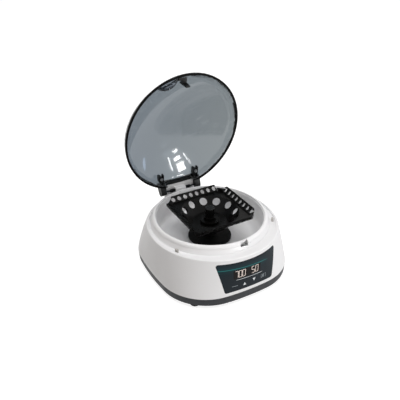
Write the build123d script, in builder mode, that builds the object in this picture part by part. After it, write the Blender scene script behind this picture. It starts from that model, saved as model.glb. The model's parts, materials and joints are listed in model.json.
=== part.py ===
from build123d import *
import os
from math import atan2, cos, degrees, hypot, pi, radians, sin, sqrt

os.makedirs("parts", exist_ok=True)

# Bench centrifuge with an open domed lid, in millimetres. +Z is up and the
# control panel faces -Y. The table is at z = 0. Heights are above the table,
# and distances towards the back are from the rotor's upright axis.

# Place of the rotor's axis behind the middle of the whole outline
bowl_axis_y = -7.0

# Moulded walls and the gaps between pieces
wall = 3.0
running_gap = 0.05
loose_gap = 0.3
seat_gap = 0.1

# Base tray and feet
foot_height = 4.6
foot_radius = 6.2
foot_chamfer = 0.6
foot_inset_side = 28.9
foot_inset_front = 25.56
foot_inset_rear = 26.64
foot_screw_radius = 1.6
foot_screw_head_radius = 2.8
foot_screw_head = 2.0
foot_screw_sink = 3.0
foot_screw_length = 20.0
post_radius = 4.0
tray_draft_side = 1.2
tray_flare_front = 0.2
tray_back = -2.96
tray_height = 11.0
tray_chamfer = 1.2
tray_floor = 2.5
side_bow_radius = 328.0
corner_round_radius = 64.5

# Upper housing, its ledge for the lid and the raised ring round the chamber
shell_half_x = 90.9
shell_half_y = 93.6
ledge_height = 65.8
ledge_inset_side = 5.2
ledge_inset_front = 6.7
ledge_back = -6.05
ledge_bow_radius = 95.0
ledge_corner_radius = 83.75
ledge_edge_round = 1.6
ledge_rail_width = 2.8
gutter_depth = 2.3
ring_opening_radius = 71.7
ring_top = 74.4
ring_lip_depth = 2.4
ring_lip_round = 1.2
ring_bore_radius = 73.6
ring_shoulder_radius = 76.6
ring_shoulder_height = 69.4
ring_foot_radius = 79.0
bumper_side = 71.0
bumper_front = -42.4
bumper_length = 4.6
bumper_width = 2.6
bumper_rise = 1.8
bumper_round = 1.0

# Chamber bowl and the rubber boot on its floor
bowl_sheet = 1.2
bowl_mouth_radius = 71.0
bowl_flange_radius = 72.9
bowl_flange_sheet = 1.0
bowl_foot_radius = 68.2
bowl_bend_radius = 13.0
bowl_floor = 39.0
bowl_hole_radius = 13.0
boot_radius = 29.0
boot_top = 41.7
boot_round = 1.0
boot_plug_depth = 2.5
boot_sleeve_radius = 8.0
boot_sleeve_top = 46.5

# Rotor
rotor_half = 47.3
rotor_top = 84.9
rotor_corner_cut = 13.5
rotor_corner_top = 81.0
rotor_sheet = 3.0
rotor_edge_round = 3.0
facet_offset = 38.4
shelf_height = 77.5
cone_offset = 38.7
rotor_floor = 62.0
strip_hole_radius = 3.2
strip_hole_pitch = 9.0
strip_hole_count = 8
strip_row_distance = 43.14
tube_hole_radius = 5.5
tube_hole_circle = 33.9
tube_hole_count = 12
corner_slot_width = 1.8
corner_slot_place = 36.1
crease_place = 39.5
crease_width = 0.8
crease_depth = 0.6
hub_radius = 13.0
hub_top = 65.6
collar_radius = 8.0
collar_top = 69.6
knob_radius = 6.1
knob_top = 83.0
knob_round = 0.8
sleeve_radius = 9.0
sleeve_bottom = 50.0

# Motor under the chamber
shaft_radius = 3.0
shaft_top = 79.0
motor_radius = 21.0
motor_bottom = 12.0
motor_top = 33.0
motor_wall = 2.0
bearing_radius = 6.5
bearing_height = 3.0
armature_radius = 16.0
bell_gap = 1.0
bracket_sheet = 2.0
bracket_radius = 30.0
ear_distance = 42.0
ear_radius = 8.0
isolator_height = 4.0
isolator_radius = 6.0
mount_screw_radius = 1.5
mount_screw_head_radius = 2.8
mount_screw_head = 1.6
motor_screw_circle = 11.5
bracket_screw_length = 16.0

# Lid hinge
hinge_overhang = 4.55
hinge_height = 69.55
open_angle = 82.2
rod_radius = 1.25
rod_half_length = 31.0
knuckle_radius = 4.6
arm_inner = 23.2
arm_outer = 31.5
arm_nose_reach = 16.9
arm_notch_rise = 3.8
back_lean = 30.0
top_lean = 40.0
tower_half = 22.6
tower_wall_gap = 2.8
tower_wall = 2.8
tower_top = 77.5
tower_step_height = 65.6
tower_foot = 44.5
tower_boss_half = 8.0
tower_boss_radius = 3.4

# Torsion springs on the hinge rod
spring_radius = 2.0
spring_wire_radius = 0.4
spring_pitch = 1.3
spring_turns = 5.25
spring_start = 8.8
spring_leg = 2.6
spring_samples = 400

# Lid
lid_inset_side = 1.6
lid_inset_front = 0.4
lid_sheet = 2.2
lid_seat = 0.35
seal_height = 2.0
seal_width = 2.6
crown_inset = 4.1
crown_back = -2.4
crown_base = 14.3
lid_rise = 39.718
yoke_wall_reach = 8.0
yoke_end_reach = 10.4
yoke_wall_thickness = 2.4
yoke_wall_bottom = 73.9
yoke_wall_top = 82.0
arm_front_height = 68.8
rib_reach = 24.9
rib_thickness = 1.8
rib_bottom = 75.6
rib_height = 5.4
boss_radius = 2.6
boss_reach = 19.4
lid_screw_head = 1.2
grip_left = -40.0
grip_right = -7.6
grip_depth = 19.3
grip_wall = 1.8
grip_bottom = 75.2

# Latch at the front
latch_slot_left = -1.5
latch_slot_right = 9.7
latch_slot_front = -77.1
latch_slot_bottom = 64.8
hook_left = -1.1
hook_right = 4.7
hook_front = -76.1
hook_rear = -73.8
hook_bottom = 65.9
hook_notch = 1.1
hook_base_left = -7.0
hook_base_front = -87.0
hook_base_rear = -80.0
hook_block_front = -82.0
hook_block_rear = -73.0
hook_block_bottom = 75.4
bolt_front = -75.4
bolt_rear = -74.0
bolt_tip = 4.0
bolt_middle = 68.0
bolt_height = 1.5
bolt_leg_start = 12.2
bolt_leg_end = 13.8
bolt_leg_bottom = 56.0
bolt_travel = 2.0
plunger_back = -77.0
plunger_height = 55.0
plunger_radius = 1.6
plunger_length = 10.0
solenoid_left = 18.0
solenoid_right = 36.0
solenoid_half = 5.0
solenoid_half_z = 4.0
latch_sheet = 1.5
bracket_plate_left = -14.0
bracket_plate_front = -82.0
bracket_plate_rear = -74.0
lid_switch_x = -8.0
lid_switch_length = 10.0
lid_switch_width = 5.6
lid_switch_depth = 6.4

# Rear switch and inlet
rear_pocket_inset = 7.64
rear_pocket_left = -30.0
rear_pocket_right = 34.0
rear_pocket_low = 21.0
rear_pocket_high = 43.0
rear_pocket_round = 4.0
switch_x = 19.0
switch_half_x = 9.6
switch_half_z = 6.6
switch_flange = 1.2
switch_flange_sheet = 1.6
switch_depth = 13.0
paddle_half_x = 7.4
switch_wall = 0.9
paddle_half_z = 4.6
paddle_face = 3.4
paddle_dip = 0.9
paddle_tilt = 8.0
pivot_depth = 1.2
pivot_radius = 0.8
inlet_x = -16.0
inlet_radius = 5.5
inlet_flange_radius = 7.0
inlet_bore_radius = 2.8
inlet_bore_depth = 9.0
inlet_pin_radius = 1.0

# Control panel on the front wall
panel_top = 60.4
panel_bottom = 20.2
panel_top_left = -42.3
panel_top_right = 43.9
panel_bottom_left = -33.3
panel_bottom_right = 35.9
panel_corner_radius = 3.0
panel_sheet = 1.0
window_left = -20.0
window_right = 27.0
window_low = 33.5
window_high = 49.0
board_thickness = 1.6
board_inset = 8.96
board_half = 30.0
board_low = 22.0
board_high = 51.0
board_post_radius = 2.2
board_post_edge = 4.0

# Power board on the tray
power_board_inset = 33.7
power_board_back = 30.0
power_board_width = 32.0
power_board_length = 46.0
power_board_height = 12.0
capacitor_radius = 4.0
capacitor_height = 12.0
standoff_radius = 2.4

tray_top = foot_height + tray_height
tray_half_x = shell_half_x - tray_draft_side
tray_half_y = shell_half_y + tray_flare_front
ledge_half_x = shell_half_x - ledge_inset_side
ledge_half_y = shell_half_y - ledge_inset_front
lid_half_x = ledge_half_x - lid_inset_side
lid_half_y = ledge_half_y - lid_inset_front
crown_radius = lid_half_x - crown_inset
foot_side = shell_half_x - foot_inset_side
foot_front = tray_back - shell_half_y + foot_inset_front
foot_rear = tray_back + shell_half_y - foot_inset_rear
hinge_back = ledge_back + ledge_half_y + hinge_overhang
tower_wall_front = hinge_back + tower_wall_gap
arm_nose_back = hinge_back - arm_nose_reach
yoke_wall_back = hinge_back - yoke_wall_reach
yoke_end_back = hinge_back - yoke_end_reach
rib_front = hinge_back - rib_reach
boss_back = hinge_back - boss_reach
latch_slot_rear = -bowl_flange_radius
rear_pocket_y = tray_back + shell_half_y - rear_pocket_inset
board_front = tray_back - shell_half_y + board_inset
power_board_place = (tray_half_x - power_board_inset, power_board_back)
bowl_top = ring_top - ring_lip_depth
rear_middle = (rear_pocket_low + rear_pocket_high) / 2
shoulder_run = ring_shoulder_radius - ring_opening_radius - ring_lip_round
axis_plane = Plane(origin=(0, bowl_axis_y, 0), x_dir=(1, 0, 0), z_dir=(0, -1, 0))
side_plane = Plane(origin=(0, bowl_axis_y, 0), x_dir=(0, 1, 0), z_dir=(1, 0, 0))
rotor_axis = Axis((0, bowl_axis_y, 0), (0, 0, 1))
rim_height = ledge_height + lid_seat

# The lid's pieces are drawn closed and turned open about the hinge
lid_turn = (
    Location((0, bowl_axis_y + hinge_back, hinge_height))
    * Location((0, 0, 0), (-open_angle, 0, 0))
    * Location((0, -bowl_axis_y - hinge_back, -hinge_height))
)


def level(height, back=0.0):
    """Level plane at a height, centred a distance behind the rotor's axis."""
    return Plane(origin=(0, bowl_axis_y + back, height))


def across(x):
    """Upright plane at a side place, drawn with y from the rotor's axis and z."""
    return side_plane.offset(x)


def opened(plane):
    """The plane of a closed lid's sketch, turned with the lid to where it stands open."""
    return Plane(lid_turn * plane.location)


def outline_arcs(half_x, half_y, bow_radius, corner_radius):
    """Adds four bowed sides and four round corners, all tangent, to the line in use."""
    side = (half_x - bow_radius, 0.0)
    back = (0.0, half_y - bow_radius)
    reach = bow_radius - corner_radius
    span = hypot(back[0] - side[0], back[1] - side[1])
    rise = sqrt(reach**2 - (span / 2) ** 2)
    out_x = (side[1] - back[1]) / span
    out_y = (back[0] - side[0]) / span
    centre = ((side[0] + back[0]) / 2 + rise * out_x, (side[1] + back[1]) / 2 + rise * out_y)
    end_x = side[0] + (centre[0] - side[0]) * bow_radius / reach
    end_y = side[1] + (centre[1] - side[1]) * bow_radius / reach
    top_x = back[0] + (centre[0] - back[0]) * bow_radius / reach
    top_y = back[1] + (centre[1] - back[1]) * bow_radius / reach
    between = hypot(end_x + top_x - 2 * centre[0], end_y + top_y - 2 * centre[1])
    mid_x = centre[0] + (end_x + top_x - 2 * centre[0]) * corner_radius / between
    mid_y = centre[1] + (end_y + top_y - 2 * centre[1]) * corner_radius / between
    ThreePointArc((end_x, -end_y), (half_x, 0), (end_x, end_y))
    ThreePointArc((end_x, end_y), (mid_x, mid_y), (top_x, top_y))
    ThreePointArc((top_x, top_y), (0, half_y), (-top_x, top_y))
    ThreePointArc((-top_x, top_y), (-mid_x, mid_y), (-end_x, end_y))
    ThreePointArc((-end_x, end_y), (-half_x, 0), (-end_x, -end_y))
    ThreePointArc((-end_x, -end_y), (-mid_x, -mid_y), (-top_x, -top_y))
    ThreePointArc((-top_x, -top_y), (0, -half_y), (top_x, -top_y))
    ThreePointArc((top_x, -top_y), (mid_x, -mid_y), (end_x, -end_y))


def outline(height, half_x, half_y, bow_radius, corner_radius, back):
    """One level outline of the housing or the tray."""
    with BuildSketch(level(height, back)) as drawn:
        with BuildLine():
            outline_arcs(half_x, half_y, bow_radius, corner_radius)
        make_face()
    return drawn.sketch


def shell_outline(height, inset):
    """The upper housing's outline at a height: bowed square below, nearly round at the ledge."""
    part_up = (height - tray_top) / (ledge_height - tray_top)
    lean = part_up**2
    bend = (1 - part_up) / side_bow_radius + part_up / ledge_bow_radius
    corner = (1 - part_up) * corner_round_radius + part_up * ledge_corner_radius
    return outline(
        height,
        shell_half_x + (ledge_half_x - shell_half_x) * lean - inset,
        shell_half_y + (ledge_half_y - shell_half_y) * lean - inset,
        1 / bend - inset,
        corner - inset,
        tray_back + (ledge_back - tray_back) * lean,
    )


def shell_body(inset, top_drop):
    """The housing's domed block, drawn in by an inset, from the tray up to below the ledge."""
    heights = [tray_top + (ledge_height - top_drop - tray_top) * step / 3 for step in range(4)]
    with BuildPart() as body:
        loft([shell_outline(height, inset) for height in heights])
    return body.part


def oval(height, inset):
    """The lid's rim outline at a height, drawn in by an inset."""
    with BuildSketch(opened(level(height, ledge_back))) as drawn:
        Ellipse(lid_half_x - inset, lid_half_y - inset)
    return drawn.sketch


def lid_block(inset):
    """The lid's outer form, drawn in by an inset: an oval skirt under a round crown."""
    base = rim_height + crown_base
    sphere = (crown_radius**2 + (lid_rise - crown_base) ** 2) / (2 * (lid_rise - crown_base))
    crown_plane = opened(axis_plane.offset(-crown_back))
    crown_axis = Axis(opened(level(0, crown_back)).origin, opened(level(0, crown_back)).z_dir)
    top = rim_height + lid_rise
    edge = crown_radius - inset
    edge_height = top - sphere + sqrt((sphere - inset) ** 2 - edge**2)
    half_edge = edge / 2
    half_height = top - sphere + sqrt((sphere - inset) ** 2 - half_edge**2)
    with BuildSketch(opened(level(edge_height, crown_back))) as crown_circle:
        Circle(edge)
    with BuildPart() as block:
        loft([oval(rim_height + seal_height, inset), crown_circle.sketch], ruled=True)
        with BuildSketch(crown_plane):
            with BuildLine():
                Line((0, edge_height), (edge, edge_height))
                ThreePointArc((edge, edge_height), (half_edge, half_height), (0, top - inset))
                Line((0, top - inset), (0, edge_height))
            make_face()
        revolve(axis=crown_axis)
    return block.part


shell_outer = shell_body(0, 0)
shell_recess = shell_body(panel_sheet, 0)
lid_outer = lid_block(0)
lid_inner = lid_block(lid_sheet)

# Base tray: a shallow dish with posts for the motor, the boards and the housing screws
post_places = [(ear_distance * cos(radians(a)), ear_distance * sin(radians(a))) for a in (90, 210, 330)]
post_top = motor_top - isolator_height
screw_places = [(side * foot_side, place) for side in (-1, 1) for place in (foot_front, foot_rear)]
with BuildPart() as base_tray:
    loft([
        outline(foot_height, tray_half_x, tray_half_y, side_bow_radius, corner_round_radius, tray_back),
        shell_outline(tray_top, 0),
    ], ruled=True)
    chamfer(base_tray.faces().sort_by(Axis.Z)[0].edges(), tray_chamfer)
    extrude(shell_outline(tray_top, wall), amount=tray_floor - tray_height, mode=Mode.SUBTRACT)
    with BuildSketch(level(foot_height + tray_floor)):
        with Locations(*post_places):
            Circle(isolator_radius)
    extrude(amount=post_top - foot_height - tray_floor)
    with BuildSketch(level(foot_height + tray_floor)):
        with Locations(power_board_place):
            with GridLocations(
                power_board_width - 2 * standoff_radius,
                power_board_length - 2 * standoff_radius,
                2,
                2,
            ):
                Circle(standoff_radius)
    extrude(amount=power_board_height - foot_height - tray_floor)
    with BuildSketch(level(post_top)):
        with Locations(*post_places):
            Circle(mount_screw_radius + seat_gap)
    extrude(amount=isolator_height + bracket_sheet - bracket_screw_length, mode=Mode.SUBTRACT)
    with BuildSketch(level(foot_height)):
        with Locations(*screw_places):
            Circle(foot_screw_radius + seat_gap)
    extrude(amount=tray_floor, mode=Mode.SUBTRACT)
base_tray.part.label = "base_tray"
export_step(base_tray.part, "parts/base_tray.step")

# Four rubber feet, each drilled for the screw that also holds the housing
with BuildPart() as rubber_feet:
    with BuildSketch(level(0)):
        with Locations(*screw_places):
            Circle(foot_radius)
    extrude(amount=foot_height)
    chamfer(rubber_feet.edges().group_by(Axis.Z)[0], foot_chamfer)
    with BuildSketch(level(0)):
        with Locations(*screw_places):
            Circle(foot_screw_head_radius + loose_gap)
    extrude(amount=foot_screw_sink, mode=Mode.SUBTRACT)
    with BuildSketch(level(0)):
        with Locations(*screw_places):
            Circle(foot_screw_radius + seat_gap)
    extrude(amount=foot_height, mode=Mode.SUBTRACT)
rubber_feet.part.label = "rubber_feet"
export_step(rubber_feet.part, "parts/rubber_feet.step")

# Screws that go up through the feet and the tray into the housing's posts
with BuildPart() as housing_screws:
    with BuildSketch(level(foot_screw_sink)):
        with Locations(*screw_places):
            Circle(foot_screw_head_radius)
    extrude(amount=-foot_screw_head)
    with BuildSketch(level(foot_screw_sink)):
        with Locations(*screw_places):
            Circle(foot_screw_radius)
    extrude(amount=foot_screw_length)
housing_screws.part.label = "housing_screws"
export_step(housing_screws.part, "parts/housing_screws.step")

# Upper housing: one domed moulding with the ledge, the raised ring, the hinge
# tower, the recess for the panel and the pocket for the switch and the inlet
deck_top = ledge_height - gutter_depth
deck_bottom = deck_top - wall
with BuildPart() as posts:
    with BuildSketch(level(foot_height + tray_floor)):
        with Locations(*screw_places):
            Circle(post_radius)
    extrude(amount=deck_top)
    add(shell_recess, mode=Mode.INTERSECT)
with BuildPart() as board_posts:
    with BuildSketch(axis_plane.offset(-board_front)):
        with Locations((0, (board_low + board_high) / 2)):
            with GridLocations(
                2 * (board_half - board_post_edge),
                board_high - board_low - 2 * board_post_edge,
                2,
                2,
            ):
                Circle(board_post_radius)
    extrude(amount=shell_half_y)
    add(shell_recess, mode=Mode.INTERSECT)
with BuildPart() as pad:
    with BuildSketch(axis_plane.offset(-rear_pocket_y + wall)):
        with Locations((
            (rear_pocket_left + rear_pocket_right) / 2,
            (rear_pocket_low + rear_pocket_high) / 2,
        )):
            Rectangle(
                rear_pocket_right - rear_pocket_left + 2 * wall,
                rear_pocket_high - rear_pocket_low + 2 * wall,
            )
    extrude(amount=-shell_half_y)
    add(shell_recess, mode=Mode.INTERSECT)


def panel_prism(gap):
    """The panel's outline, wider at the top, run through the front wall."""
    with BuildPart() as prism:
        with BuildSketch(axis_plane.offset(bowl_mouth_radius)):
            with BuildLine():
                Polyline(
                    (panel_bottom_left + gap, panel_bottom + gap),
                    (panel_bottom_right - gap, panel_bottom + gap),
                    (panel_top_right - gap, panel_top - gap),
                    (panel_top_left + gap, panel_top - gap),
                    close=True,
                )
            make_face()
        extrude(amount=shell_half_y)
        fillet(prism.edges().filter_by(Axis.Y), panel_corner_radius)
    return prism.part


with BuildPart() as upper_housing:
    add(shell_outer)
    fillet(upper_housing.edges().group_by(Axis.Z)[-1], ledge_edge_round)
    with BuildSketch(across(-tower_half)):
        with BuildLine():
            Polyline(
                (ring_foot_radius, deck_bottom),
                (ring_foot_radius, tower_step_height),
                (tower_wall_front, tower_step_height),
                (tower_wall_front, tower_top),
                (tower_wall_front + tower_wall, tower_top),
                (tower_wall_front + tower_wall, tower_foot + tower_wall),
                (tower_wall_front - wall, tower_foot),
                close=True,
            )
        make_face()
    extrude(amount=2 * tower_half)
    with BuildSketch(level(ledge_height, ledge_back)):
        Ellipse(ledge_half_x - ledge_rail_width, ledge_half_y - ledge_rail_width)
    extrude(amount=-gutter_depth, mode=Mode.SUBTRACT)
    add(shell_body(wall, gutter_depth + wall), mode=Mode.SUBTRACT)
    with BuildSketch(across(wall - tower_half)):
        with BuildLine():
            Polyline(
                (ledge_back + ledge_half_y, tower_foot + 2 * wall),
                (ledge_back + ledge_half_y, tower_step_height - wall),
                (tower_wall_front, tower_step_height - wall),
                (tower_wall_front, tower_foot + 2 * wall),
                close=True,
            )
        make_face()
    extrude(amount=2 * tower_half - 2 * wall, mode=Mode.SUBTRACT)
    add(posts.part)
    add(board_posts.part)
    add(pad.part)
    with BuildSketch(axis_plane):
        with BuildLine():
            Polyline(
                (ring_foot_radius, deck_top),
                (ring_foot_radius, deck_bottom),
                (ring_bore_radius, deck_bottom),
                (ring_bore_radius, ring_top - ring_lip_depth),
                (ring_opening_radius, ring_top - ring_lip_depth),
                (ring_opening_radius, ring_top - ring_lip_round),
            )
            ThreePointArc(
                (ring_opening_radius, ring_top - ring_lip_round),
                (
                    ring_opening_radius + ring_lip_round * (1 - cos(pi / 4)),
                    ring_top - ring_lip_round * (1 - sin(pi / 4)),
                ),
                (ring_opening_radius + ring_lip_round, ring_top),
            )
            ThreePointArc(
                (ring_opening_radius + ring_lip_round, ring_top),
                (
                    ring_shoulder_radius - shoulder_run * (1 - sin(pi / 4)),
                    ring_top - (ring_top - ring_shoulder_height) * (1 - cos(pi / 4)),
                ),
                (ring_shoulder_radius, ring_shoulder_height),
            )
            Line((ring_shoulder_radius, ring_shoulder_height), (ring_foot_radius, deck_top))
        make_face()
    revolve(axis=rotor_axis)
    with BuildSketch(level(deck_bottom - wall)):
        Circle(ring_bore_radius)
    extrude(amount=2 * wall + gutter_depth, mode=Mode.SUBTRACT)
    with BuildSketch(across(-tower_boss_half)):
        with Locations((hinge_back, hinge_height)):
            Circle(tower_boss_radius)
        with Locations((hinge_back, (hinge_height + deck_top) / 2)):
            Rectangle(2 * tower_boss_radius, hinge_height - deck_top)
        with Locations(((hinge_back + tower_wall_front) / 2, hinge_height)):
            Rectangle(tower_wall_front - hinge_back, 2 * tower_boss_radius)
    extrude(amount=2 * tower_boss_half)
    with BuildSketch(across(-tower_half)):
        with Locations((hinge_back, hinge_height)):
            Circle(rod_radius + running_gap)
    extrude(amount=2 * tower_half, mode=Mode.SUBTRACT)
    with BuildSketch(level(ring_top + wall)):
        with Locations((
            (latch_slot_left + latch_slot_right) / 2,
            (latch_slot_front + latch_slot_rear) / 2,
        )):
            Rectangle(latch_slot_right - latch_slot_left, latch_slot_rear - latch_slot_front)
    extrude(amount=latch_slot_bottom - ring_top - wall, mode=Mode.SUBTRACT)
    with BuildSketch(axis_plane.offset(-bolt_rear - loose_gap)):
        with Locations((
            (latch_slot_right + bolt_leg_end + bolt_travel + loose_gap) / 2,
            bolt_middle,
        )):
            Rectangle(
                bolt_leg_end + bolt_travel + loose_gap - latch_slot_right,
                bolt_height + 2 * loose_gap,
            )
        with Locations((
            (bolt_leg_start + bolt_leg_end + bolt_travel) / 2,
            (deck_bottom + bolt_middle) / 2,
        )):
            Rectangle(
                bolt_leg_end - bolt_leg_start + bolt_travel + 2 * loose_gap,
                bolt_middle - deck_bottom,
            )
    extrude(amount=bolt_rear - bolt_front + 2 * loose_gap, mode=Mode.SUBTRACT)
    with BuildSketch(axis_plane.offset(-rear_pocket_y)):
        with Locations((
            (rear_pocket_left + rear_pocket_right) / 2,
            (rear_pocket_low + rear_pocket_high) / 2,
        )):
            RectangleRounded(
                rear_pocket_right - rear_pocket_left,
                rear_pocket_high - rear_pocket_low,
                rear_pocket_round,
            )
    extrude(amount=-shell_half_y, mode=Mode.SUBTRACT)
    with BuildSketch(axis_plane.offset(-rear_pocket_y)):
        with Locations((switch_x, rear_middle)):
            Rectangle(2 * switch_half_x + 2 * seat_gap, 2 * switch_half_z + 2 * seat_gap)
        with Locations((inlet_x, rear_middle)):
            Circle(inlet_radius + seat_gap)
    extrude(amount=2 * wall, mode=Mode.SUBTRACT)
    add((shell_outer - shell_recess) & panel_prism(0), mode=Mode.SUBTRACT)
    with BuildSketch(axis_plane.offset(bowl_mouth_radius)):
        with Locations(((window_left + window_right) / 2, (window_low + window_high) / 2)):
            Rectangle(window_right - window_left, window_high - window_low)
    extrude(amount=shell_half_y, mode=Mode.SUBTRACT)
    with BuildSketch(level(0)):
        with Locations(*screw_places):
            Circle(foot_screw_radius + seat_gap)
    extrude(amount=foot_screw_sink + foot_screw_length + wall, mode=Mode.SUBTRACT)
upper_housing.part.label = "upper_housing"
export_step(upper_housing.part, "parts/upper_housing.step")

# Chamber bowl: one spun sheet whose flange sits under the ring's lip


def bowl_half(extra):
    """Half section of the bowl's inside, grown by an extra on the wall and the floor."""
    corner = (bowl_foot_radius + extra, bowl_floor - extra)
    with BuildSketch(axis_plane) as half:
        with BuildLine():
            Polyline(
                (0, bowl_floor - extra),
                corner,
                (bowl_mouth_radius + extra, bowl_top),
                (0, bowl_top),
                close=True,
            )
        make_face()
        fillet(half.vertices().sort_by_distance(corner)[0], bowl_bend_radius + extra)
    return half.sketch


with BuildPart() as chamber_bowl:
    revolve(bowl_half(bowl_sheet), axis=rotor_axis)
    with BuildSketch(level(bowl_top)):
        Circle(bowl_flange_radius)
    extrude(amount=-bowl_flange_sheet)
    revolve(bowl_half(0), axis=rotor_axis, mode=Mode.SUBTRACT)
    with BuildSketch(level(bowl_floor)):
        Circle(bowl_hole_radius)
    extrude(amount=-2 * bowl_sheet, mode=Mode.SUBTRACT)
chamber_bowl.part.label = "chamber_bowl"
export_step(chamber_bowl.part, "parts/chamber_bowl.step")

# Rubber boot: a plug through the bowl's floor, a broad disc and a sleeve round the shaft
with BuildPart() as rubber_boot:
    with BuildSketch(level(bowl_floor - boot_plug_depth)):
        Circle(bowl_hole_radius - seat_gap)
    extrude(amount=boot_plug_depth)
    with BuildSketch(level(bowl_floor)):
        Circle(boot_radius)
    extrude(amount=boot_top - bowl_floor)
    fillet(rubber_boot.edges().group_by(Axis.Z)[-1], boot_round)
    with BuildSketch(level(boot_top)):
        Circle(boot_sleeve_radius)
    extrude(amount=boot_sleeve_top - boot_top)
    with BuildSketch(level(bowl_floor - boot_plug_depth)):
        Circle(shaft_radius + loose_gap)
    extrude(amount=boot_sleeve_top, mode=Mode.SUBTRACT)
rubber_boot.part.label = "rubber_boot"
export_step(rubber_boot.part, "parts/rubber_boot.step")

# Rotor: a square tray on a cone. The sloping walls carry the strip tubes, the
# cone carries the single tubes, and the corners are flat shelves inside cut corners.


def cut_square(bottom, top, cut, rounding):
    """Upright block on the rotor's square with its corners cut and the new edges rounded."""
    with BuildPart() as block:
        with BuildSketch(level(bottom)):
            Rectangle(2 * rotor_half, 2 * rotor_half)
        extrude(amount=top - bottom)
        chamfer(block.edges().filter_by(Axis.Z), cut)
        fillet(block.edges().filter_by(Axis.Z), rounding)
    return block.part


def spread_square(bottom, top, offset):
    """Square block whose four sides lean out at 45 degrees."""
    with BuildPart() as block:
        with BuildSketch(level(bottom)):
            Rectangle(2 * (bottom - offset), 2 * (bottom - offset))
        with BuildSketch(level(top)):
            Rectangle(2 * (top - offset), 2 * (top - offset))
        loft(ruled=True)
    return block.part


def spread_cone(bottom, top, offset):
    """Round block whose side leans out at 45 degrees."""
    with BuildPart() as block:
        with BuildSketch(level(bottom)):
            Circle(bottom - offset)
        with BuildSketch(level(top)):
            Circle(top - offset)
        loft()
    return block.part


def slope_plane(turn, distance, offset):
    """Plane lying on a 45 degree inside wall, facing in and up, turned about the axis."""
    out_x = cos(radians(turn))
    out_y = sin(radians(turn))
    return Plane(
        origin=(distance * out_x, bowl_axis_y + distance * out_y, distance + offset),
        x_dir=(-out_y, out_x, 0),
        z_dir=(-out_x, -out_y, 1),
    )


under_offset = facet_offset - rotor_sheet * sqrt(2)
shelf_under = shelf_height - rotor_sheet
inner_cut = rotor_corner_cut + rotor_sheet * sqrt(2)
quarter_turns = (0, 90, 180, 270)
tube_turns = [360 / tube_hole_count * (step + 0.5) for step in range(tube_hole_count)]
with BuildPart() as rotor:
    add(spread_square(shelf_under, rotor_top, under_offset))
    add(cut_square(shelf_under, rotor_top, rotor_corner_cut, rotor_edge_round), mode=Mode.INTERSECT)
    add(spread_cone(rotor_floor - rotor_sheet, shelf_under, under_offset))
    add(
        spread_square(shelf_height, rotor_top, facet_offset)
        & cut_square(shelf_height, rotor_top, inner_cut, rotor_edge_round),
        mode=Mode.SUBTRACT,
    )
    add(spread_cone(rotor_floor, shelf_height, cone_offset), mode=Mode.SUBTRACT)
    with BuildSketch(level(rotor_corner_top)):
        for side_x in (-1, 1):
            for side_y in (-1, 1):
                with Locations((side_x * rotor_half, side_y * rotor_half)):
                    Rectangle(2 * rotor_corner_cut, 2 * rotor_corner_cut)
    extrude(amount=rotor_top - rotor_corner_top, mode=Mode.SUBTRACT)
    with BuildSketch(*[slope_plane(turn, strip_row_distance, facet_offset) for turn in quarter_turns]):
        with GridLocations(strip_hole_pitch, 1, strip_hole_count, 1):
            Circle(strip_hole_radius)
    extrude(amount=2 * rotor_sheet, both=True, mode=Mode.SUBTRACT)
    with BuildSketch(*[slope_plane(turn, tube_hole_circle, cone_offset) for turn in tube_turns]):
        Circle(tube_hole_radius)
    extrude(amount=2 * rotor_sheet, both=True, mode=Mode.SUBTRACT)
    with BuildSketch(level(rotor_top)):
        for turn in quarter_turns:
            with Locations(Location((0, 0, 0), (0, 0, turn))):
                with Locations((corner_slot_place, (crease_place + rotor_half) / 2)):
                    Rectangle(corner_slot_width, rotor_half - crease_place)
    extrude(amount=shelf_under - rotor_top, mode=Mode.SUBTRACT)
    with BuildSketch(level(shelf_height + crease_width)):
        for turn in quarter_turns:
            with Locations(Location((0, 0, 0), (0, 0, turn))):
                with Locations((0, crease_place)):
                    Rectangle(2 * (rotor_half - rotor_corner_cut), crease_width)
    extrude(amount=-crease_width - crease_depth, mode=Mode.SUBTRACT)
    with BuildSketch(level(rotor_floor - rotor_sheet)):
        Circle(hub_radius)
    extrude(amount=hub_top - rotor_floor + rotor_sheet)
    with BuildSketch(level(hub_top)):
        Circle(collar_radius)
    extrude(amount=collar_top - hub_top)
    with BuildSketch(level(sleeve_bottom)):
        Circle(sleeve_radius)
    extrude(amount=rotor_floor - rotor_sheet - sleeve_bottom)
    with BuildSketch(level(sleeve_bottom)):
        Circle(shaft_radius + running_gap)
    extrude(amount=collar_top - sleeve_bottom, mode=Mode.SUBTRACT)
rotor.part.label = "rotor"
export_step(rotor.part, "parts/rotor.step")

# Knob that clamps the rotor on the shaft's end
with BuildPart() as rotor_knob:
    with BuildSketch(level(collar_top)):
        Circle(knob_radius)
    extrude(amount=knob_top - collar_top)
    fillet(rotor_knob.edges().group_by(Axis.Z)[-1], knob_round)
    with BuildSketch(level(collar_top)):
        Circle(shaft_radius + running_gap)
    extrude(amount=shaft_top - collar_top, mode=Mode.SUBTRACT)
rotor_knob.part.label = "rotor_knob"
export_step(rotor_knob.part, "parts/rotor_knob.step")

motor_screw_places = [(motor_screw_circle * sx, motor_screw_circle * sy) for sx in (-1, 1) for sy in (-1, 1)]

# Motor: shaft and armature turn with the rotor, the can, the stator and the bearings stand still
with BuildPart() as motor_shaft:
    with BuildSketch(level(motor_bottom)):
        Circle(shaft_radius)
    extrude(amount=shaft_top - motor_bottom)
motor_shaft.part.label = "motor_shaft"
export_step(motor_shaft.part, "parts/motor_shaft.step")

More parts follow.
